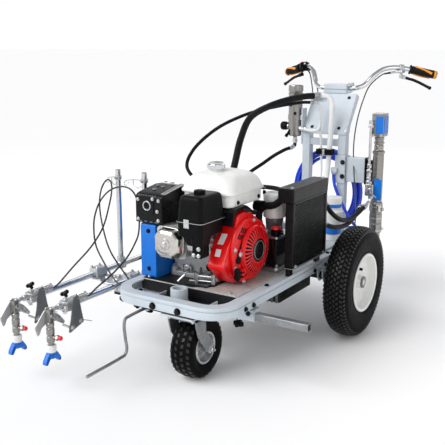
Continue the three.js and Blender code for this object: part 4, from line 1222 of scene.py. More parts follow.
def make_air_cleaner():
    a = AIR
    top = a["top"]
    stud_x, stud_y = 40, -588
    shell = loft_box((a["x0"], a["x1"], a["front"], a["rear"] - 8), [
        (12, 470, 8), (2, 470, 14), (0.5, 472, 14), (0, 476, 14), (-0.5, 510, 14), (-2.5, 512, 15),
        (-2.5, 515.7, 15), (6, 515.7, 12),
    ])
    duct = loft_box((a["x0"] + 12, a["x1"] - 28, a["front"] + 10, a["rear"] - 20), [
        (16, 438.2, 5), (12, 438.2, 6), (8, 446, 8), (2, 461, 10), (-1, 470.5, 12),
    ])
    elbow = loft_box((45, 81, a["front"] + 8, -592), [
        (4, 404, 5), (1, 405, 7), (0, 408, 8), (0, 440, 8), (-3, 452, 9), (-4, 470.5, 10),
    ])
    clips = [block(24, 44, a["front"] - 4, a["front"] - 1, 500, 528, 1)]
    for x, z in ((54, 414), (72, 414), (72, 436)):
        clips += bolt((x, a["front"] + 8, z), -Y, 9, 4)
    ribs = [block(80, 83.5, -638 + 14 * i, -632 + 14 * i, 410, 462, 1.2) for i in range(3)]
    piece("air_cleaner_case", "chassis", [
        (BLACK_PLASTIC, [shell, duct, elbow, *ribs]), (ZINC, clips),
    ], ["air_cleaner_base"])
    cover = loft_box((a["x0"], a["x1"], a["front"], a["rear"]), [
        (8, 516, 10), (-3, 516, 16), (-3.6, 517, 16), (-3.6, 520.5, 16), (-2.4, 522, 16),
        (-0.4, 523, 15), (0, 526, 15), (2.5, 564, 15), (4, top - 16, 15), (5, top - 10, 15),
        (7.4, top - 5, 14), (11, top - 1.6, 13), (16, top, 10), (24, top + 0.4, 6),
    ])
    seam = loft_box((a["x0"], a["x1"], a["front"], a["rear"]), [
        (-2.6, 516.6, 16), (-4.3, 516.8, 16), (-4.3, 518.6, 16), (-2.6, 518.8, 16),
    ])
    dimple = lathe(
        [(0, top - 2), (22, top - 2), (22.6, top + 0.2), (21, top + 1.6), (0, top + 1.8)],
        (stud_x, stud_y, 0), Z, 40
    )
    stud = rod((stud_x, stud_y, top), (stud_x, stud_y, top + 15), 3.2, 16)
    piece("air_cleaner_lid", "chassis", [
        (BLACK_PLASTIC, [cover]), (BLACK, [dimple]), (BRUSHED, [seam]), (ZINC, [stud]),
    ], ["air_cleaner_cover"], 26)
    rings = []
    for r, rise in ((6, 2.2), (17, 2.2), (18.2, 3.4), (18.2, 9), (16.4, 11.4), (11, 12.6), (6, 12.6)):
        lobe = 2.3 if r > 12 else 0.4
        turns = [2 * math.pi * i / 96 for i in range(96)]
        reach = [(r + lobe * math.cos(6 * t), t) for t in turns]
        rings.append(
            [(stud_x + d * math.cos(t), stud_y + d * math.sin(t), top + rise) for d, t in reach]
        )
    knob = skin(rings, caps=False)
    hub = lathe(
        [(4.6, top + 2.2), (6.4, top + 2.2), (6.4, top + 14), (4.6, top + 14)], (stud_x, stud_y, 0), Z,
        32
    )
    piece(
        "air_cleaner_knob", "air_nut", [(BLACK_PLASTIC, [knob, hub])],
        ["air_cleaner_nut"], 40,
    )


def make_muffler():
    m = MUFFLER
    x0, x1, front, rear = m["x0"], m["x1"], m["front"], m["rear"]
    outline = [
        (front, m["bottom"]), (rear, m["bottom"]), (rear, m["top"] + 6), (rear - 10, m["top"] + 11),
        (rear - 44, m["top"] + 13), (front + 22, m["top"] + 1), (front + 6, m["top"] - 4),
        (front, m["top"] - 12),
    ]
    centre = (x0 + x1) / 2 - 4
    box, pad = (
        carve(shape, rod((centre, front - 10, 540), (centre, front + 40, 540), 14, 32, 0))
        for shape in (
            prism(outline, "yz", x0, x1, 4),
            prism(rounded(centre - 30, centre + 26, 510, 570, 5), "xz", front - 2.4, front + 1, 0.8),
        )
    )
    outlet = ring_of(12.6, 16.4, (centre, front - 6, 540), (centre, front + 26, 540), 48, 0.8)
    # A dark disc inside the outlet ring: painted shade in the pipe's mouth.
    outlet_shade = rod((centre, front + 24, 540), (centre, front + 30, 540), 13.6, 24, 0)
    seam = [block(x0 - 1.2, x1 + 1.2, front + 3, front + 6, m["bottom"] + 1, m["top"] - 10, 0.8)]
    screw_spots = [
        (x0 + 12, 558), (x1 - 12, 560), (x0 + 12, 492), (x1 - 14, 494), (centre + 22, 564),
        (x1 - 18, 524),
    ]
    corners = bolt_row([(x, front - 1, z) for x, z in screw_spots], -Y, 8, 3.4)
    slots = [
        block(x0 + 14 + 9.4 * i, x0 + 19.6 + 9.4 * i, front - 0.6, front + 2, 571, 575.5, 0.3)
        for i in range(8)
    ]
    low_slots = [
        block(x0 + 14 + 22 * i, x0 + 26 + 22 * i, front - 0.6, front + 2, 484, 488, 0.3)
        for i in range(4)
    ]
    rise = math.atan2(12, 75)
    lift = Matrix.Translation((x1 - 9, front + 22, m["top"] + 1.2)) @ Matrix.Rotation(rise, 4, "X")
    # The bright strip along the top edge is a perforated heat shield, made bright also as a painted
    # highlight on the curved edge.
    strip = moved(block(-6, 9.6, -6, 106, -3, 1, 0.8), lift)
    # Dark blocks on the strip for its perforations: painted shade in the holes.
    hole_shade = [moved(block(-2.5, 6, 3 + 9.6 * i, 7.6 + 9.6 * i, 0.2, 1.5, 0.2), lift) for i in range(10)]
    bosses = []
    for x, y, r in ((-172, -545, 8), (-158, -516, 6), (-186, -508, 6), (-150, -474, 9), (-180, -470, 6)):
        z = m["top"] + 1 + (y - front - 22) * math.tan(rise)
        bosses.append(
            lathe([(0, z), (r, z), (r * 0.9, z + 1.8), (r * 0.5, z + 3), (0, z + 3.2)], (x, y, 0), Z, 24)
        )
    piece("silencer", "chassis", [
        (BLACK, [box, pad, *seam]), (ZINC, [outlet, strip, *corners]),
        (DARK_STEEL, [outlet_shade, *hole_shade, *slots, *low_slots]),
        (GALVANISED, bosses),
    ], ["muffler"])


def make_belt_drive():
    x0, x1, front, rear, top = -200, -137, -590, -190, 476
    wall = 3
    outer = prism(rounded(front, rear, ON_PLATE, top, 9, 5), "yz", x0, x1, 2.4)
    inner = block(x0 + wall, x1 - wall, front + wall, rear - wall, PLATE["top"] + 4, top - wall, 0)
    shell = carve(
        outer, inner,
        rod((x1 - 10, CRANK["y"], CRANK["z"]), (x1 + 10, CRANK["y"], CRANK["z"]), 14, 24, 0),
        rod((x1 - 10, PUMP_SHAFT_Y, CRANK["z"]), (x1 + 10, PUMP_SHAFT_Y, CRANK["z"]), 14, 24, 0),
    )
    flange = [block(x0 + 3, x0 + 6.4, front - 1.2, rear + 1.2, 296, 300, 1)]
    screws = bolt_row([(-167, front, z) for z in (322, 452)], -Y, 10, 4)
    side = bolt_row([(x0, y, z) for y in (-560, -390, -220) for z in (318, 452)], -X, 10, 4)
    dimple = lathe([(0, 0), (4, 0), (4, 1), (0, 1.2)], (-166, front, 346), -Y, 24)
    piece(
        "belt_guard", "chassis",
        [(BLUE, [shell, *flange, dimple]), (BLACK, screws + side)], ["belt_cover"],
    )
    big, small, x = 33, 25, -165
    y0, y1, z = CRANK["y"], PUMP_SHAFT_Y, CRANK["z"]
    lean = math.degrees(math.asin((big - small) / (y1 - y0)))
    loop = arc(y0, z, big, 90 - lean, 270 + lean, 30) + arc(y1, z, small, -90 + lean, 90 - lean, 24)
    belt = sweep(
        [Vector((x, u, v)) for u, v in loop], rounded(-2.6, 2.6, -6, 6, 1.4, 3), loop=True, up=X
    )
    piece("drive_belt", "chassis", [(RUBBER, [belt])])


make_shroud()
make_engine_block()
make_fuel_tank()
make_air_cleaner()
make_muffler()
make_belt_drive()
repaint("crankshaft", DARK_STEEL)
repaint("driven_pulley", DARK_STEEL)

# ---- hydraulics ----------------------------------------------------------------------------------
def crimped(end, way, radius, length=26):
    """The crimped steel sleeve and swivel nut at the end of a hose."""
    end, way = Vector(end), Vector(way).normalized()
    nut_at = length * 0.64
    profile = [
        (0.7, 0), (1.14, 0), (1.2, 3), (1.08, 5), (1.2, 7), (1.08, 9), (1.2, 11), (1.16, length * 0.6),
        (0.8, nut_at), (0.7, nut_at),
    ]
    sleeve = lathe([(radius * wide, h) for wide, h in profile], end, way, 32)
    return [sleeve, hexagon(end + way * length * 0.64, way, radius * 2.3, length * 0.36)]


def make_cooler():
    c = COOLER
    x0, x1, front, rear, bottom, top = (c[k] for k in ("x0", "x1", "front", "rear", "bottom", "top"))
    core = block(x0 + 3, x1 - 9, front + 16, rear - 16, bottom + 6, 541, 0.5)
    sides = [block(x0, x1, y, y + 14, bottom, 545, 2) for y in (front, rear - 14)]
    ends = [block(x0, x1, front, rear, z, z + 7, 1.5) for z in (bottom, 538)]
    slats = []
    count = 27
    for i in range(count):
        z = bottom + 10 + (520 - bottom) * i / (count - 1)
        for low, high in ((x1 - 10, x1 - 1), (x0, x0 + 3)):
            slats.append(block(low, high, front + 14, rear - 14, z - 1.1, z + 1.5, 0.3))
    fins = []
    for i in range(58):
        y = front + 18 + (rear - front - 36) * i / 57
        fins.append(block(x1 - 11, x1 - 5, y - 0.5, y + 0.5, bottom + 8, 538, 0))
    header = prism(rounded(178, x1 + 1, front - 3, rear + 3, 5, 4), "xy", 545, top, 3)
    header_low = block(182, x1 - 2, front + 1, rear - 1, 540, 546, 1)
    trim = block(x0 - 1, x1 + 1.6, front + 2, rear - 2, bottom - 3, bottom + 2, 1)
    feet = [block(x0, 220, y, y + 32, DECK["top"] + 0.3, bottom + 2, 2) for y in (front + 8, rear - 40)]
    foot_bolts = bolt_row([(x1 - 1, y, bottom + 4) for y in (front + 24, rear - 24)], X, 9, 4)
    ports = nut_row([(182, y, 566) for y in (front + 44, rear - 44)], -X, 20)
    lid_bolts = bolt_row([(225, y, top) for y in (front + 12, rear - 12)], Z, 8, 3)
    piece("cooler_radiator", "chassis", [
        (BLACK, [*sides, *ends, *slats, header, header_low, *feet]), (DARK_STEEL, [core, *fins]),
        (BRUSHED, [trim]), (ZINC, foot_bolts + ports + lid_bolts),
    ], ["oil_cooler"])


def make_oil_box():
    b = OIL_BOX
    body = block(b["x0"], b["x1"] - 6, b["front"] + 4, b["rear"], ON_PLATE + 14, b["top"] - 8, 4)
    feet = prism(
        rounded(b["x0"] - 4, b["x1"] + 4, b["front"] - 6, b["rear"] + 4, 12), "xy", ON_PLATE,
        ON_PLATE + 15, 4,
    )
    lid = prism(
        rounded(b["x0"] - 4, b["x1"], b["front"], b["rear"] + 4, 9), "xy", b["top"] - 8, b["top"], 1.2
    )
    screw_spots = [
        (b["x0"] + 5, b["front"] + 9), (b["x1"] - 9, b["front"] + 9), (b["x1"] - 9, b["rear"] - 6),
        (b["x0"] + 5, b["rear"] - 6), (b["x1"] - 9, -262),
    ]
    screws = bolt_row([(x, y, b["top"]) for x, y in screw_spots], Z, 10, 5)
    stud_spots = [(b["x0"] + 2, b["front"]), (b["x1"] - 2, b["front"]), (b["x1"] - 2, b["rear"])]
    studs = nut_row([(x, y, ON_PLATE + 15) for x, y in stud_spots], Z, 13)
    gauge = [
        ring_of(7, 11, (112, b["front"] + 4, 352), (112, b["front"] - 1, 352), 32),
        block(106, 118, b["front"] + 1, b["front"] + 5, 374, 400, 2),
    ]
    piece("hydraulic_box", "chassis", [
        (BLACK_GLOSS, [body]), (BRUSHED, [feet, lid]), (BLACK, screws), (ZINC, studs + gauge),
    ], ["oil_tank"])
    can_at, breather_at, feed_x, feed_y = (118, -238, 0), (153, -290, 0), 82, -286
    neck = lathe([
        (0, 415.3), (33, 415.3), (34, 417), (34, 421), (30, 424), (29, 430), (31, 446), (32, 462),
        (31, 468), (0, 468),
    ], can_at, Z, 56)
    can = lathe([
        (0, 467), (33, 467), (38, 469), (40, 472), (40, 543), (39, 549), (35, 553), (30, 555.4),
        (26, 556), (0, 556),
    ], can_at, Z, 72)
    flats = [
        moved(block(38.5, 40.6, -4, 4, 536, 550, 0.8), turned_at(can_at, 24 * i, "Z"))
        for i in range(15)
    ]
    piece(
        "oil_filter_can", "chassis", [(WHITE, [can, *flats]), (SMOKED, [neck])],
        ["oil_filter"],
    )
    ridges = [
        moved(block(16, 18, -1.2, 1.2, 418, 436, 0.5), turned_at(breather_at, 18 * i, "Z"))
        for i in range(20)
    ]
    base = lathe(
        [(0, 415.3), (16, 415.3), (17, 417), (17, 437), (15.4, 439), (0, 439)], breather_at, Z, 48
    )
    crown = lathe(
        [(0, 438), (15.6, 438), (17, 440), (17, 445), (15.4, 447.4), (0, 448)], breather_at, Z, 48
    )
    piece(
        "filler_breather", "breather",
        [(BLACK_PLASTIC, [base, *ridges]), (RED_PLASTIC, [crown])], ["breather_cap"],
    )
    brass = lathe([(0, 415), (8, 415), (8, 436), (6.4, 438), (0, 438)], (feed_x, feed_y, 0), Z, 32)
    feed = [
        (feed_x, feed_y, 446), (feed_x, feed_y, 474), (86, -285, 496), (104, -284, 512),
        (140, -284, 520), (166, -284, 540), (180, -284, 562),
    ]
    dark = [
        ring_of(12.6, 14.6, (feed_x, feed_y, 446), (feed_x, feed_y, 458), 32),
        rod((66, -285, 512), (100, -285, 512), 19, 24),
    ]
    piece("cooler_feed", "chassis", [
        (RUBBER, [tube(feed, 12.5, 20, 6)]),
        (BRASS, [brass, hexagon((feed_x, feed_y, 424), Z, 22, 8)]),
        (BLUE_PLASTIC, [ring_of(8, 13.4, (feed_x, feed_y, 437), (feed_x, feed_y, 443), 32)]),
        (BLACK_PLASTIC, dark),
    ])


def make_hydraulic_pump():
    foot = block(-126, -60, -300, -200, ON_PLATE, 300, 2)
    stand = [block(x, x + 7, -296, -204, 299, 352, 1.5) for x in (-124, -69)]
    body = block(-120, -62, -288, -212, 350, 442, 6)
    flange = prism(rounded(-290, -210, 352, 440, 14), "yz", -133, -119, 2)
    nose = lathe([(8.8, -136), (26, -136), (30, -132), (8.8, -132)], (0, PUMP_SHAFT_Y, 396), X, 40)
    cover = prism(rounded(-284, -216, 358, 434, 16), "yz", -62, -49, 3)
    caps = bolt_row([(-49, y, z) for y in (-276, -224) for z in (368, 424)], X, 13, 7)
    elbow = [hexagon((-88, -225, 436), Z, 30, 7)]
    piece("gear_pump", "chassis", [
        (CAST, [body, flange, nose, cover]), (BLACK, [foot, *stand]), (ZINC, caps + elbow),
    ], ["hydraulic_pump"])


HOSE_ROUTES = {
    "return_line": [
        (-98, -262, 446), (-104, -268, 500), (-180, -268, 560), (-247, -250, 614), (-259, -200, 664),
        (-234, -80, 737), (-184, 60, 786), (-132, 170, 808), (-63, 300, 824), (-40, 372, 822),
    ],
    "filter_line": [
        (-144, 420, 642), (-144, 419, 630), (-150, 400, 622), (-162, 372, 616), (-187, 320, 595),
        (-211, 250, 563), (-226, 200, 543), (-226, 120, 520), (-200, 40, 480), (-160, -20, 420),
        (-140, -60, 350), (-138, -80, 300),
    ],
    "motor_feed": [
        (222, -64, 508), (224, -34, 482), (226, 0, 452), (228, 76, 411), (227, 130, 397),
        (226, 184, 391), (222, 265, 396), (219, 330, 407), (219, 350, 411),
    ],
    "motor_return": [
        (222, -64, 430), (224, -43, 416), (226, 0, 398), (226, 45, 386), (222, 151, 372),
        (212, 248, 378), (203, 320, 394), (200, 350, 406),
    ],
    "pressure_line": [
        (-72, -240, 446), (-70, -236, 480), (-56, -222, 516), (-24, -208, 542), (34, -204, 560),
        (100, -222, 566.5), (150, -242, 567), (180, -256, 566),
    ],
}
# Each hose's radius, and for each end the crimped sleeve's place, direction and length.
HOSE_ENDS = {
    "return_line": (6.5, [((-46, 350, 823), (6, 22, -1), 22), ((-98, -262, 462), (0, 0, -1), 22)]),
    "filter_line": (7.5, [((-146, 412, 626), (-4, -14, -4), 26), ((-138, -78, 318), (0, 0, -1), 24)]),
    "motor_feed": (9, [((222, -62, 506), (0, 30, -26), 26), ((219, 332, 407), (0, 20, 4), 26)]),
    "motor_return": (9, [((222, -62, 429), (2, 21, -13), 26), ((201, 334, 399), (-1, 18, 7), 26)]),
    "pressure_line": (8, [((-72, -240, 466), (0, 0, -1), 24), ((160, -247, 567), (22, -11, -1), 24)]),
}


def make_suction_hose():
    route = [
        (-88, -225, 442.6), (-88, -225, 480), (-90, -205, 545), (-100, -150, 628), (-120, -75, 712),
        (-136, 20, 780), (-121, 150, 818), (-80, 240, 840), (-48, 318, 849), (-25, 356, 850),
        (-8.3, 365.8, 850),
    ]
    end = Vector(route[-1])
    way = end - Vector(route[-2])
    run = tube(route[:-1] + [tuple(end - way.normalized() * 26)], 13, 24, 6)
    sleeves = crimped(
        end - way.normalized() * 32, way, 12.2, 30
    ) + crimped((-88, -225, 468), -Z, 12.6, 26)
    piece(
        "suction_line", "chassis", [(RUBBER, [run]), (ZINC, sleeves)], ["suction_hose"]
    )


def make_hoses():
    make_suction_hose()
    for name, (radius, ends) in HOSE_ENDS.items():
        sleeves = [part for end, way, length in ends for part in crimped(end, way, radius, length)]
        piece(name, "chassis", [
            (RUBBER, [tube(HOSE_ROUTES[name], radius, 20, 6)]), (ZINC, sleeves),
        ])


def make_cup():
    at = (141, 211, 0)
    glass = lathe([
        (0, 292), (30, 292), (31, 294), (38, 402), (39, 403), (39, 407), (36.6, 407), (29.6, 296),
        (0, 296),
    ], at, Z, 56)
    lid = lathe([(30, 446), (34, 446), (34, 464), (31, 466), (0, 466), (0, 463), (30, 463)], at, Z, 48)
    neck = lathe([(27, 404), (39.4, 404), (39.4, 410), (33, 414), (33, 446), (27, 446)], at, Z, 56)
    collar = ring_of(33.2, 35, (141, 211, 426), (141, 211, 440), 48)
    lower = ring_of(33.4, 34.6, (141, 211, 318), (141, 211, 352), 48)
    piece("oil_cup", "chassis", [
        (WHITE_PLASTIC, [glass, neck, lid]), (BLUE_PLASTIC, [collar, lower]),
    ])


make_cooler()
make_oil_box()
make_hydraulic_pump()
make_hoses()
make_cup()

# ---- mast ----------------------------------------------------------------------------------------
def make_mast():
    inner, outer, front, rear, top = (MAST[k] for k in ("inner", "outer", "front", "rear", "top"))
    foot = DECK["top"] + 0.3
    sides = ((-outer, -inner), (inner, outer))
    posts = [block(x0, x1, front, rear, foot, top, 3) for x0, x1 in sides]
    caps = [block(x0 + 2, x1 - 2, front + 2, rear - 2, top - 1, top + 0.2, 0.5) for x0, x1 in sides]
    sole = prism(rounded(-outer - 20, outer + 20, front, DECK["rear"] - 2, 4), "xy", foot, foot + 8, 1.5)
    rib = [(front + 2, foot + 8), (front - 30, foot + 8), (front + 2, foot + 60)]
    ribs = [prism(rib, "yz", x, x + 5, 1) for x in (-85, 80)]
    feet = [block(x - 20, x + 25, front - 34, front + 2, foot, foot + 6, 1.2) for x in (-85, 80)]
    crossbar = block(-inner - 2, inner + 2, front + 4, rear - 4, 640, 668, 3)
    box = [
        block(outer - 2, 190, 408, 448, 494, 598, 3),
        block(inner - 8, outer + 6, front - 5, front + 1, 486, 604, 1.2),
        block(outer + 2, outer + 6, front - 5, 444, 488, 602, 1),
    ]
    tall_side = block(188, 196, 404, 450, 490, 602, 1.5)
    arm = block(188, 218, 411, 431, 500, 592, 2)
    filter_plate = block(-outer - 7, -outer - 0.3, front - 3, rear + 2, 640, 792, 2)
    gusset_outline = [(front, 642), (rear, 642), (rear, 668), (front + 10, 690), (front, 688)]
    gusset = prism(gusset_outline, "yz", -outer - 1, -outer + 2, 0.5)
    lug = block(44, inner + 6, front - 17, front + 2, 532, 552, 2)
    weld = tube([(inner + 1, front - 1, 612), (outer - 1, front - 1, 612)], 1.6, 8, 4)
    sole_bolts = bolt_row([(x, 424, foot + 8) for x in (-110, 110)], Z, 14, 8)
    box_bolts = bolt_row([(outer - 8, front - 5, z) for z in (516, 576)], -Y, 13, 6)
    box_bolts += bolt_row([(196, 427, z) for z in (520, 572)], X, 13, 6)
    filter_bolts = bolt_row([(-outer - 7, front + 18, z) for z in (660, 770)], -X, 12, 6)
    hose_stub = ring_of(6.4, 10, (55, 396, 532), (55, 396, 524), 24)
    piece("mast_posts", "chassis", [
        (FRAME_PAINT, [*posts, sole, *ribs, *feet, crossbar, *box, filter_plate, gusset, lug, weld]),
        (BLACK_PLASTIC, caps),
        (BLACK, [tall_side, arm]), (BLACK_GLOSS, box_bolts),
        (ZINC, sole_bolts + filter_bolts + [hose_stub]),
    ], ["mast_frame"])


def make_mast_plate():
    front, top = MAST["front"], MAST["top"]
    low, high = Vector((front - 4, top + 0.3)), Vector((PLATE_TOP["y"], PLATE_TOP["z"]))
    along = (high - low).normalized()
    out = Vector((-along.y, along.x))
    length = (high - low).length
    half_low, half_high, shoulder = 76, 96, 40
    outline = [
        (-half_low, 0), (half_low, 0), (half_high, shoulder), (half_high, length), (-half_high, length),
        (-half_high, shoulder),
    ]
    rings = []
    for depth in (0, -4):
        spots = [(u, low + along * s + out * depth) for u, s in outline]
        rings.append([(u, spot.x, spot.y) for u, spot in spots])
    main = soften(skin(rings), 0.8)
    bend, fold = low + along * shoulder, Vector((30, 0))
    upper_flange = [tuple(bend), tuple(high), tuple(high + Vector((30, -16))), tuple(bend + fold)]
    lower_flange = [tuple(low), tuple(bend), tuple(bend + fold), (MAST["rear"], top + 0.3)]
    flanges = [
        prism(flange, "yz", x0, x1, 1)
        for flange in (upper_flange, lower_flange) for x0, x1 in ((-99.6, -95), (95, 99.6))
    ]
    tongue = [
        block(x0, x1, front - 3, front + 1, top + 0.3, top + 14, 0.8)
        for x0, x1 in ((-half_high, -60), (60, half_high))
    ]
    clamp = carve(
        block(-54, 54, 501, 563, 853, 893, 4),
        rod((-70, 532, 875), (70, 532, 875), 12.2, 32, 0),
    )
    seam = block(-54.6, 54.6, 500.4, 503, 870, 872, 0.3)
    tabs = [block(54, 66, 508, 556, z, z + 7, 1.2) for z in (860, 884)]
    tab_bolts = bolt_row([(60, y, 891) for y in (515, 549)], Z, 11, 6)
    bolt_way = Vector((0, -abs(out.x), abs(out.y)) if out.x > 0 else (0, out.x, out.y))
    plate_bolts = []
    for u, s in ((62, 30), (-62, 30), (70, length - 22), (-70, length - 22)):
        p = low + along * s + out * 0.2
        plate_bolts += bolt((u, p.x, p.y), bolt_way, 9, 3.4)
    piece("mast_sheet", "chassis", [
        (FRAME_PAINT, [main, *flanges, *tongue, clamp, *tabs]), (DARK_STEEL, [seam]), (ZINC, tab_bolts),
        (BLACK, plate_bolts),
    ], ["mast_plate"])


def make_handlebar():
    bend = [
        (0, 532, 875), (40, 532, 875), (62, 532, 875), (82, 536, 877), (112, 556, 890), (140, 588, 928),
        (165, 618, 953), (200, 648, 962), (235, 673, 959), tuple(GRIP_INNER),
    ]
    mirrored = [(-x, y, z) for x, y, z in bend[:0:-1]]
    bar = tube(mirrored + bend, 11, 28, 8)
    cores = []
    for side in (-1, 1):
        start, end = (Vector((side * p.x, p.y, p.z)) for p in (GRIP_INNER, GRIP_OUTER))
        cores.append(rod(start, end, 11, 28))
    perch = [
        ring_of(11.4, 17, (222, 664, 960), (238, 675, 958), 32, 2),
        block(210, 244, 646, 684, 938, 950, 4),
        rod((236, 656, 934.3), (236, 656, 948), 7, 20), hexagon((236, 656, 948), Z, 12, 5),
        rod((214, 652, 944), (196, 634, 940), 5, 16),
    ]
    cluster = [
        ring_of(11.4, 21, (-212, 656, 962), (-244, 678, 958), 32, 4),
        block(-246, -204, 648, 688, 940, 956, 5),
        moved(block(-20, 20, -12, 12, -11, 11, 5), turned_at((-222, 652, 968), 35, "Z")),
        rod((-236, 656, 934.3), (-236, 656, 946), 8, 20), block(-212, -196, 644, 662, 952, 972, 3),
    ]
    buttons = [
        rod((-230, 646, 976), (-230, 646, 982), 5, 20), rod((-214, 642, 972), (-212, 634, 974), 4, 16)
    ]
    piece("handlebar_tube", "chassis", [
        (CHROME, [bar, *cores]), (CAST, perch), (BLACK_PLASTIC, cluster), (RED_PLASTIC, buttons[:1]),
        (ZINC, buttons[1:]),
    ], ["handlebar"], 40)
    for side, name in ((1, "left"), (-1, "right")):
        start, end = (Vector((side * p.x, p.y, p.z)) for p in (GRIP_INNER, GRIP_OUTER))
        length = (end - start).length
        profile = [(11.3, 6), (19, 6), (20, 7), (20, 10), (19, 11.4), (16.4, 13)]
        ribs = 14
        for i in range(ribs):
            h = 16 + (length - 34) * i / ribs
            swell = 0.5 * math.sin(math.pi * i / ribs)
            profile += [(16.4 + swell, h), (17.6 + swell, h + 2)]
        profile += [(17.2, length - 10), (17.4, length - 2), (16.6, length + 1), (11.3, length + 1)]
        sleeve = lathe(profile, start, end - start, 56)
        along = (end - start).normalized()
        bands = []
        spin = aimed(end - start)
        for k in range(3):
            points = []
            for i in range(15):
                turn = 2 * math.pi * k / 3 + 0.9 * i / 14
                spot = Vector(
                    (17.1 * math.cos(turn), 17.1 * math.sin(turn), 24 + (length - 44) * i / 14)
                )
                points.append(spin @ spot + start)
            bands.append(sweep(points, rounded(-1.1, 1.1, -5, 5, 0.9, 2), up=Z))
        end_ring = ring_of(12, 18.4, start + along * (length - 9), start + along * (length - 1), 48, 1.2)
        cap = lathe([
            (0, length), (15.8, length), (16.4, length + 1.4), (16, length + 4), (13, length + 6),
            (0, length + 6),
        ], start, end - start, 40)
        piece(f"grip_cover_{name}", "chassis", [
            (RUBBER, [sleeve]), (ORANGE, [*bands, end_ring]), (ZINC, [cap]),
        ], [f"grip_{name}"])


def make_levers():
    reach = [
        (236, 656, 924), (248, 662, 921), (262, 668, 916), (282, 676, 910), (300, 684, 902),
        (324, 696, 889), (346, 705, 877),
    ]
    levers = (
        (1, "brake", "brake_lever", CAST, "zinc"),
        (-1, "trigger", "trigger_lever", BLACK_PLASTIC, "black_paint"),
    )
    for side, body, node_name, root_look, slot in levers:
        path = [(side * x, y, z) for x, y, z in reach]
        points = smooth_path(path, 5)
        blade = sweep(points, [(u * 0.9, v) for u, v in rounded(-3.4, 3.4, -6, 6, 2.6, 4)], up=Z)
        ball = lathe(
            [(0, -8), (4, -7), (7, -4), (8, 0), (7, 4), (4, 7), (0, 8)], path[-1],
            Vector(path[-1]) - Vector(path[-2]), 32,
        )
        eye = [
            lathe(
                [
                    (0, -6), (8.4, -6), (9, -5.4), (9, 3.6), (8.4, 5.2), (7, 7), (5, 8.6), (2.6, 9.6),
                    (0, 9.9),
                ],
                (side * 236, 656, 924), Z, 40,
            ),
            rod((side * 236, 656, 916.6), (side * 236, 656, 920), 3.4, 16),
        ]
        root = sweep(points[:5], rounded(-4.4, 4.4, -8, 8, 2.6, 4), up=Z)
        piece(f"{body}_handle", body, [
            (BLACK, [blade, ball]), (root_look, [root, *eye]),
        ], [node_name], 40)


def make_cables():
    brake = [
        (196, 634, 940), (176, 612, 936), (150, 590, 914), (124, 575, 880), (108, 562, 830),
        (102, 520, 750), (116, 455, 650), (146, 396, 540), (184, 330, 460), (216, 262, 372),
        (238, 170, 290), (250, 90, 260), (255, 56, 248),
    ]
    first = [
        (-198, 654, 962), (-170, 640, 960), (-140, 600, 930), (-112, 560, 880), (-92, 530, 846),
        (-84, 512, 800), (-80, 470, 720), (-78, 452, 640),
    ]
    second = [
        (-206, 650, 950), (-180, 622, 934), (-150, 584, 890), (-126, 548, 830), (-116, 500, 760),
        (-112, 456, 690), (-112, 452, 630),
    ]
    end_caps = [rod(path[0], path[1], 4.4, 16, 1, 3.2) for path in (brake, first, second)]
    piece("handle_cables", "chassis", [
        (CABLE_JACKET, [tube(path, 2.6, 12, 7) for path in (brake, first, second)]),
        (BLACK_PLASTIC, end_caps),
        (ZINC, [ring_of(2.8, 4.6, (250, 86, 259), (254, 62, 250), 16)]),
    ])


def make_filter():
    x, y, r = FILTER["x"], FILTER["y"], FILTER["radius"]
    body = lathe([
        (0, 664), (9, 664), (9, 669), (24, 671), (28, 673), (r, 677), (r, 832), (r - 1, 834),
        (r - 1, 836), (r, 838), (r, 848), (r + 2, 850), (r + 2, 855), (r - 1.6, 857), (r - 1.6, 860),
        (r + 1.6, 862), (r + 1.6, 884), (r - 1, 888), (r - 8, 889), (0, 889),
    ], (x, y, 0), Z, 72)
    grooves = [ring_of(r + 1.3, r + 2, (x, y, z), (x, y, z + 1.2), 64, 0.1) for z in (868, 874, 880)]
    outlet = [rod((x, y, 640), (x, y, 666), 9, 24), hexagon((x, y, 644), Z, 22, 12)]
    screws = [
        *bolt((x - 8, y - r + 1, 806), -Y, 10, 5),
        *bolt((x + 12, y - r + 2, 770), Vector((0.4, -1, 0)), 9, 4),
    ]
    side_tube = tube([
        (x + 26, y - 12, 706), (x + 60, y - 34, 706), (-40, 372, 704), (-18, 370, 706), (-9, 374, 716),
        (-8, 380, 730),
    ], 6.4, 20, 5)
    nuts = [
        hexagon((x + 28, y - 12, 706), Vector((34, -22, 0)), 20, 14),
        hexagon((x + 62, y - 35, 706), Vector((40, -14, 0)), 17, 12),
    ]
    band = ring_of(r + 0.2, r + 2.2, (x, y, 742), (x, y, 762), 64, 0.5)
    strap = block(x + 24, -106, y - 12, y + 14, 742, 762, 1)
    piece("filter_housing", "chassis", [
        (STAINLESS, [body, *grooves, band]), (ZINC, outlet + nuts + [strap]), (BLACK, screws),
        (PIPE, [side_tube]),
    ], ["paint_filter"])
    near = x - r - 0.3
    knob = lathe([(0, 8), (15.4, 8), (17, 10), (17, 32), (15, 35), (0, 36)], (near, y, 712), -X, 48)
    knob_at = Matrix.Translation((near, y, 712)) @ aimed(-X)
    flutes = [
        moved(
            block(15.6, 18.3, -1.8, 1.8, 11, 32, 0.8),
            knob_at @ Matrix.Rotation(math.radians(30 * i), 4, "Z"),
        )
        for i in range(12)
    ]
    shank = lathe([(0, 0), (9, 0), (9, 8), (0, 8)], (near, y, 712), -X, 32)
    piece(
        "pressure_dial", "pressure",
        [(BLACK_PLASTIC, [knob, *flutes]), (ZINC, [shank])], ["pressure_knob"],
    )
    drain = [
        rod((x - 12, y - 24, 700), (x - 24, y - 30, 676), 5, 16),
        rod((x - 23, y - 29.5, 680), (x - 28, y - 32, 668), 7, 16),
    ]
    piece("filter_drain", "chassis", [(BLACK_PLASTIC, drain)])


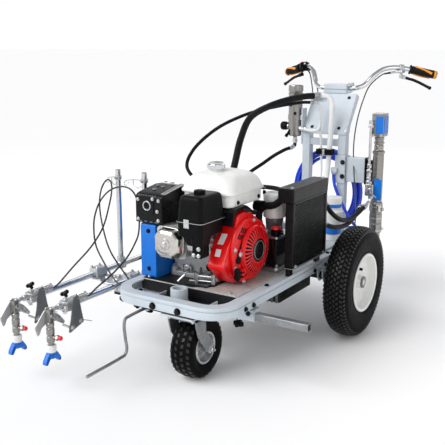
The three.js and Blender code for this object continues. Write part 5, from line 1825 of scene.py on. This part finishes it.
def make_pipes():
    thick = [
        (-7.6, 366.2, 850), (4, 373, 850), (26, 381, 846), (40, 384, 828), (43, 383, 790),
        (43, 382, 731), (33, 376, 519), (60, 290, 420), (98, 205, 350), (104, 200, 305),
    ]
    thin = [
        (-40, 372, 822), (-22, 376, 822), (-12, 380, 808), (-8, 382, 740), (4, 380, 529), (30, 290, 430),
        (60, 205, 350), (64, 200, 305),
    ]
    pipes = [tube(thick, 11, 28, 6), tube(thin, 5, 20, 6)]
    clamp = [
        block(-16, 56, 364, 372, 606, 630, 2), block(-16, 56, 388, 396, 606, 630, 2),
        ring_of(11.2, 17, (38, 379, 606), (38, 379, 630), 36, 1.5),
        ring_of(5.2, 11, (0, 380, 606), (0, 380, 630), 32, 1.5),
    ]
    clamp_bolts = bolt_row([(19, 364, z) for z in (612, 624)], -Y, 8, 4)
    base = prism(rounded(48, 120, 184, 216, 8), "xy", ON_PLATE, PLATE["top"] + 12, 1.5)
    nuts = [
        hexagon((-14, 362, 850), Vector((8, 5, 0)), 30, 12),
        hexagon((-44, 371, 822), Vector((1, 0, 0)), 16, 10),
    ]
    nuts += [hexagon((104, 200, 304), Z, 28, 12), hexagon((64, 200, 304), Z, 16, 10)]
    bracket = [block(-52, 20, 374, 380, 826, 846, 1), block(-52, -46, 376, 430, 826, 846, 1)]
    bracket_bolts = bolt((-36, 374, 838), -Y, 10, 5)
    piece("steel_lines", "chassis", [
        (PIPE, pipes), (BLACK_PLASTIC, clamp), (GALVANISED, [base]),
        (ZINC, nuts + clamp_bolts + bracket_bolts), (FRAME_PAINT, bracket),
    ], ["supply_pipes"], 40)


def make_pump():
    x, y = PUMP["x"], PUMP["y"]
    column = lathe([
        (0, 262), (17, 262), (20, 264), (20, 288), (23, 291), (26, 294), (26, 330), (24.6, 332),
        (26, 334), (26, 372), (24, 374), (24, 378), (26, 380), (26, 418), (24, 421), (21.6, 424),
        (21.6, 436), (22.4, 438), (22.4, 614), (21.6, 616), (21.6, 622), (25, 624), (25, 632), (20, 636),
        (19, 638), (19, 656), (17.6, 658), (17.6, 662), (21, 664), (21, 671), (17.6, 673), (17.6, 680),
        (20, 682), (20, 688), (17, 690), (17, 697), (0, 697),
    ], (x, y, 0), Z, 72)
    bands = [ring_of(22, 27.4, (x, y, z), (x, y, z + 5), 56, 0.8) for z in (300, 352, 400)]
    rings = [ring_of(18, 19.8, (x, y, z), (x, y, z + 2.4), 48, 0.4) for z in (642, 650)]
    flats = prism(rounded(x - 24.5, x + 24.5, y - 24.5, y + 24.5, 9), "xy", 384, 412, 2)
    head = prism(rounded(x - 26, x + 26, y - 26, y + 26, 5), "xy", 694, PUMP["top"], 2)
    head_groove = [
        block(x - 26.6, x + 26.6, y - 26.6, y + 26.6, z, z + 1.2, 0.2)
        for z in (702, PUMP["top"] - 8)
    ]
    panel = [
        prism(rounded(y - 22, y + 22, 706, 776, 3), "yz", x + 25.6, x + 27.6, 0.6),
        block(x - 8, x + 24, y - 27.6, y - 25.8, 706, 776, 0.6),
    ]
    lower_panel = prism(rounded(x - 2, x + 30, 434, 520, 4), "xz", y - 32, y - 28, 1)
    manifold = prism(rounded(x - 34, x + 2, y - 52, y - 14, 3), "xy", 452, 500, 2)
    riser_x, riser_y = x - 24, y - 36
    riser = rod((riser_x, riser_y, 498), (riser_x, riser_y, 756), 5.4, 20)
    riser_nuts = (
        (500, 21, 14), (518, 17, 10), (548, 19, 12), (566, 16, 16), (730, 19, 13), (744, 16, 12)
    )
    fittings = [hexagon((riser_x, riser_y, z), Z, width, height) for z, width, height in riser_nuts]
    fittings += [
        ring_of(5.2, 9, (riser_x, riser_y, 530), (riser_x, riser_y, 546), 24),
        rod((riser_x, riser_y - 2, 752), (riser_x, y - 20, 752), 8, 24),
        rod((riser_x, riser_y, 738), (riser_x, riser_y, 760), 9, 24),
    ]
    elbow_path = [
        (x - 14, y - 33, 440), (x - 16, y - 38, 428), (x - 20, y - 46, 422), (x - 24, y - 60, 412)
    ]
    elbow = [hexagon(elbow_path[0], Z, 20, 12), tube(elbow_path, 6.6, 20, 4)]
    bolts = bolt_row([(x + s * 17, y - 26, 699) for s in (-1, 1)], -Y, 8, 4)
    bolts += bolt_row([(x + 26, y + 4, z) for z in (310, 392)], X, 11, 6)
    tail = lathe([(0, 262.2), (12, 262.2), (12, 262.8), (13, 263), (0, 263)], (x, y, 0), Z, 32)
    piece("piston_pump", "chassis", [
        (STAINLESS, [column, head, tail]), (TURNED, [*bands, *rings, flats, manifold]),
        (DARK_STEEL, head_groove),
        (BLUE, panel + [lower_panel]), (ZINC, [riser, *fittings, *elbow, *bolts]),
    ], ["paint_pump"])
    hub = [lathe([(0, 0), (8, 0), (8, 14), (6, 17.6), (0, 17.6)], (x - 10, y - 52.3, 478), -Y, 28)]
    arm = rod((x - 10, y - 66, 478), (x + 22, y - 66, 452), 4, 18, 1.5, 3)
    piece("drain_handle", "drain_lever", [(CHROME, [*hub, arm])], ["manifold_lever"])


make_mast()
make_mast_plate()
make_handlebar()
make_levers()
make_cables()
make_filter()
make_pipes()
make_pump()

# ---- spray gun carriage --------------------------------------------------------------------------
GUN_Y = -950


def make_beam():
    y, z, h = BEAM["y"], BEAM["z"], BEAM["half"]
    path = [Vector((BEAM["right"], y, z)), Vector((BEAM["left"], y, z))]
    bar = sweep(path, rounded(-h, h, -h, h, 3, 4))
    mouth = sweep(
        [Vector((BEAM["left"] - 60, y, z)), Vector((BEAM["left"] + 10, y, z))],
        rounded(-10, 10, -10, 10, 1.6, 3),
    )
    tube_part = carve(bar, mouth)
    cap = block(BEAM["right"] - 1.5, BEAM["right"] + 2, y - h + 1, y + h - 1, z - h + 1, z + h - 1, 1)
    saddle = [
        block(-336, -292, y - 24, y + 24, 232.9, 238, 1.2),
        block(-336, -292, y - 24, y - 13.2, 198, 238, 1.2),
        block(-336, -292, y + 13.2, y + 24, 198, 238, 1.2),
        block(-336, -292, y - 24, y + 24, 198, 207, 1.2),
    ]
    outline = rounded(-455, -247, y - 34, y + 34, 30, 10)
    plates = [
        prism(outline, "xy", 238, 244, 1.4),
        lathe([(0, 237), (51, 237), (52, 238), (52, 243), (51, 244.4), (0, 244.4)], (-350, y, 0), Z, 64),
    ]
    plates += [
        prism(rounded(x0, x1, y - 31, y + 31, corner, 8), "xy", 244, 247, 1)
        for x0, x1, corner in ((-450, -400, 24), (-300, -252, 22))
    ]
    clamps, bolts = [], []
    for gun in GUNS.values():
        x = gun["x"]
        clamp = carve(
            block(x - 19, x + 19, y - 28, y + 28, 246, 278, 4),
            rod((x, y - 40, BAR["z"]), (x, y + 40, BAR["z"]), BAR["radius"] + 0.4, 32, 0)
        )
        split = block(x - 19.4, x + 19.4, y - 28.4, y + 28.4, 268, 269.2, 0.2)
        clamps += [clamp, split]
        bolts += bolt_row([(x + dx, y + dy, 278) for dx in (-13, 13) for dy in (-20, 20)], Z, 9, 5)
    big_bolts = bolt_row(
        [(x, y + dy, 244) for x, dy in ((-350, 0), (-350, 22), (-372, -14), (-328, -14))], Z, 15, 9
    )
    under = nut_row([(x, y - 16, 238) for x in (-372, -328)], -Z, 13)
    side_bolts = bolt_row([(x, y - 24, 220) for x in (-324, -304)], -Y, 13, 8)
    knobs = wing_knob((-314, y, 184), -Z, 17, 3, 14) + wing_knob((-400, y + 20, 226), -Z, 14, 3, 12)
    stems = [
        rod((-314, y, 186), (-314, y, 198), 5, 16), rod((-400, y + 20, 226), (-400, y + 20, 238), 4, 16),
    ]
    piece("cross_beam", "beam", [
        (GALVANISED, [tube_part, *saddle]), (BLACK_PLASTIC, [cap, *knobs]),
        (ZINC, bolts + big_bolts + under + side_bolts),
        (CHROME, stems),
    ], ["gun_beam"])
    piece("swivel_plates", "beam", [(ZINC, plates), (CAST, clamps)], ["gun_carrier"])


def make_gun_bar(side, gun):
    x, z, r = gun["x"], BAR["z"], BAR["radius"]
    py, pole_top = gun["pole_y"], gun["pole_top"]
    bar = rod((x, BAR["front"], z), (x, gun["rear"], z), r, 32, 1.5)
    foot = [
        block(x - 14, x + 14, py - 16, py + 16, z - 14, z + 14, 3),
        ring_of(10.4, 15, (x, py, z + 12), (x, py, z + 30), 36, 1),
    ]
    pole = rod((x, py, z), (x, py, pole_top), 10, 32, 1)
    # A dark disc at the pole's open top: painted shade in its bore.
    bore_shade = rod((x, py, pole_top - 0.8), (x, py, pole_top + 0.2), 7.6, 24, 0)
    collar = [ring_of(10.2, 13.4, (x, py, pole_top - 36), (x, py, pole_top - 22), 36, 1)]
    top = pole_top - 29
    tight = bolt((x, py - 13, top), -Y, 8, 7)
    hook = [
        (x - 12, py - 4, top), (x - 26, py - 14, top + 3), (x - 52, py - 30, top + 1),
        (x - 60, py - 36, top - 4), (x - 60, py - 38, top - 12), (x - 52, py - 34, top - 16),
        (x - 46, py - 30, top - 11), (x - 50, py - 30, top - 5),
    ]
    drop = [
        (x - 34, py - 20, top + 2), (x - 33, py - 20, top - 14), (x - 26, py - 15, top - 24),
        (x - 14, py - 8, top - 26), (x - 6, py - 12, top - 18),
    ]
    if side == "outer":
        hook, drop = ([(x + (u - x) * 0.4, v, w) for u, v, w in wire] for wire in (hook, drop))
    wires = [tube(hook, 1.5, 10, 3), tube(drop, 1.5, 10, 3)]
    bar_screw = bolt((x + 14, py, z), X, 11, 6)
    piece(f"gun_bar_{side}_tube", f"bar_{side}", [
        (CHROME, [bar, pole, *wires]), (ZINC, foot + collar + tight + bar_screw), (DARK_STEEL, [bore_shade]),
    ], [f"gun_bar_{side}"])


def make_gun(side, gun):
    x = gun["x"]
    clamp = carve(
        block(x - 17, x + 17, -892, -845, 240, 274, 4),
        rod((x, -900, BAR["z"]), (x, -830, BAR["z"]), BAR["radius"] + 0.5, 32, 0)
    )
    clamp_split = block(x - 17.4, x + 17.4, -892.4, -844.6, 262, 263, 0.2)
    upper = [(-862, 282), (-840, 282), (-838, 276), (-827, 215), (-877, 216), (-864, 276)]
    lower = [(-827, 215), (-821, 192), (-824, 188), (-884, 170), (-889, 174), (-877, 216)]
    bracket = [prism(upper, "yz", x + 16, x + 19.4, 0.8), prism(lower, "yz", x + 16.2, x + 19.6, 0.8)]
    fold = tube([(x + 18.4, -827, 215), (x + 18.4, -877, 216)], 2.2, 10, 6)
    shelf = block(x + 2, x + 18, -860, -842, 279, 282, 0.6)
    arm = rod((x, -890, 262), (x, -948, 262), 7, 28, 1)
    arm_ring = [
        ring_of(7, 10, (x, -905, 262), (x, -915, 262), 28),
        ring_of(7, 9, (x, -932, 262), (x, -937, 262), 28),
    ]
    face = [
        prism(
            [
                (-943, 268), (-952, 270), (-1000, 222), (-1001, 214), (-992, 188), (-984, 192),
                (-976, 208), (-942, 226),
            ],
            "yz", x - 14, x - 10.4, 0.8,
        ),
        block(x - 12, x - 8, -950, -938, 226, 268, 1),
    ]
    yoke = [
        block(x - 14, x + 9, -960, -940, 224, 266, 3),
        rod((x - 14, -951, 252), (x + 15, -951, 252), 4, 16),
    ]
    barrel = lathe([
        (0, 150.4), (8.6, 150.4), (8.6, 157), (12, 159), (12.8, 162), (12.8, 176), (11, 178), (11, 182),
        (12.8, 184), (12.8, 204), (11.4, 206), (11.4, 210), (13, 212), (13, 222), (11, 224.5),
        (0, 224.5),
    ], (x, GUN_Y, 0), Z, 48)
    nose = lathe([(0, 132), (8.6, 132), (8.6, 151), (0, 151)], (x, GUN_Y, 0), Z, 32)
    inlet = [
        rod((x + 10, -949, 176), (x + 26, -946, 176), 6.4, 20),
        hexagon((x + 22, -946.6, 176), Vector((34, 6, 0)), 16, 8),
    ]
    plug = lathe(
        [(0, 0), (7, 0), (7.4, 2), (7.4, 9), (6, 11), (0, 11)], (x + 29, -945, 176), Vector((34, 6, 0)),
        32,
    )
    link_pin = [
        rod((x - 4, -949, 230), (x - 4, -900, 214), 3.4, 14),
        hexagon((x - 4, -912, 218), Vector((0, 49, -16)), 11, 8),
    ]
    link = [
        rod((x + 4, -900, 200), (x + 16, -876, 184), 4, 16), *bolt((x + 19.5, -874, 186), X, 11, 6),
        *bolt((x + 19.5, -836, 196), X, 10, 5),
    ]
    stop = [
        block(x + 8, x + 20, -846, -800, 272, 275, 1), block(x + 8, x + 11, -846, -800, 266, 276, 0.8),
        block(x + 12, x + 20, -803.4, -800, 258, 276, 0.8),
    ]
    coils = []
    for (coil_x, coil_y, coil_z), turns in (((x + 14, -842, 281), 7), ((x + 15, -820, 280), 5)):
        points = []
        for i in range(turns * 14 + 1):
            t = 2 * math.pi * i / 14
            along = coil_y + 19 * i / (turns * 14)
            points.append((coil_x + 5.4 * math.cos(t), along, coil_z + 5.4 * math.sin(t)))
        coils.append(tube(points, 1.3, 8, 2.4))
    adjuster = [
        rod((x + 15.8, -846, 268), (x + 15.8, -800.4, 268), 3, 14),
        hexagon((x + 15.8, -818, 268), Y, 10, 6),
        rod((x + 15.8, -870, 262), (x + 15.8, -846, 268), 1.2, 8),
    ]
    knob_stem = [
        rod((x - 6, -872, 274), (x - 6, -872, 290), 4, 16),
        ring_of(4, 9, (x - 6, -872, 274), (x - 6, -872, 277), 24),
    ]
    knob = wing_knob((x - 6, -872, 289), Vector((-0.25, -0.35, 1)), 16, 3, 11)
    screws = bolt_row([(x - 17, y, 250) for y in (-884, -852)], -X, 11, 6)
    screws += bolt_row([(x, y, 240) for y in (-884, -852)], -Z, 12, 8)
    small = [*bolt((x - 14.4, -958, 240), -X, 10, 4), *bolt((x - 14.4, -978, 216), -X, 8, 3)]
    hook_wire = tube([(x + 20, -824, 196), (x + 30, -812, 192), (x + 40, -806, 190)], 1.0, 8, 3)
    piece(f"spray_gun_{side}", f"bar_{side}", [
        (DARK_SHEET, bracket + [fold]),
        (ZINC, [clamp, arm, *arm_ring, *stop, shelf, *screws, *small, *link, *knob_stem, *adjuster]),
        (PALE_SHEET, face), (STAINLESS, [barrel, nose, *inlet, *yoke, *link_pin]), (RED_PLASTIC, [plug]),
        (CHROME, coils), (BLACK_PLASTIC, knob + [hook_wire]), (DARK_STEEL, [clamp_split]),
    ], [f"gun_body_{side}"])
    lever = [
        (-958, 248), (-950, 254), (-940, 256), (-928, 248), (-916, 236), (-900, 216), (-901, 210),
        (-908, 208), (-930, 222), (-944, 234), (-956, 242),
    ]
    piece(f"gun_trigger_{side}", f"gun_lever_{side}", [
        (ZINC, [prism(lever, "yz", x + 9.6, x + 13.8, 1.2)]),
        (DARK_STEEL, [rod((x + 13, -951, 249.6), (x + 15.6, -951, 249.6), 3.6, 16)]),
    ], [f"gun_lever_{side}"])


def make_tip_guard(side, gun):
    x = gun["x"]
    nut = lathe(
        [(9.8, 127), (14.4, 127), (15, 128), (15, 149), (14, 150), (9.8, 150)], (x, GUN_Y, 0), Z, 48
    )
    rib_turns = [turned_at((x, GUN_Y, 0), 20 * i, "Z") for i in range(18)]
    ribs = [moved(block(14.4, 15.8, -1.3, 1.3, 129, 148, 0.5), turn) for turn in rib_turns]
    tip = ring_of(3, 11.6, (x, GUN_Y, 106), (x, GUN_Y, 127.4), 40, 1)
    both_ways = [turned_at((x, GUN_Y, 0), degrees, "Z") for degrees in (0, 180)]
    wing_shape = [
        (-7, 127), (-15, 127), (-20, 122), (-32, 104), (-34, 96), (-29, 90), (-23, 91), (-14, 104),
        (-7, 110),
    ]
    notch_shape = [(-20, 116), (-29, 102), (-28, 96), (-17, 107), (-13, 115)]
    lining_shape = [(-19, 114), (-27, 102), (-26, 98), (-17, 107), (-13, 113)]
    wings, lining = [], []
    for place in both_ways:
        notch = moved(prism(notch_shape, "yz", -5, 5, 0), Matrix.Translation((6, 0, 0)))
        wings.append(moved(carve(prism(wing_shape, "yz", -8, 8, 2.2), notch), place))
        lining.append(moved(prism(lining_shape, "yz", -0.4, 1.2, 0.4), place))
    rim = [moved(rod((-8, -29, 95), (8, -29, 95), 4, 16, 1), place) for place in both_ways]
    handle = [
        rod((x + 9, GUN_Y, 116), (x + 22, GUN_Y, 116), 4, 16),
        block(x + 20, x + 24, -958, -942, 112, 120, 1.6),
    ]
    piece(f"tip_guard_{side}_cap", f"guard_{side}", [
        (BLUE_PLASTIC, [tip, *wings, *rim, *handle]), (WHITE_PLASTIC, [nut, *ribs, *lining]),
    ], [f"tip_guard_{side}"])


def make_pointer():
    route = [
        (-94, -640, 230), (-94, -700, 230), (-95, -780, 228), (-95, -806, 224), (-95, -812, 205),
        (-95, -808, 160), (-95, -803, 122), (-95.5, -812, 107), (-96, -835, 104), (-98, -983, 99),
    ]
    piece("guide_rod", "pointer", [(GALVANISED, [tube(route, 5, 20, 5)])], ["pointer_rod"], 50)


DARK_SHEET = surface("dark_sheet", (0.20, 0.21, 0.22), 0.42, 0.85, 0.12, 0.03, 0.15, 0.001, (1, 1, 0.15))
PALE_SHEET = surface("pale_sheet", (0.55, 0.56, 0.57), 0.36, 0.8, 0.08, 0.02, 0.12, 0.001)
make_beam()
for side, gun in GUNS.items():
    make_gun_bar(side, gun)
    make_gun(side, gun)
    make_tip_guard(side, gun)
make_pointer()
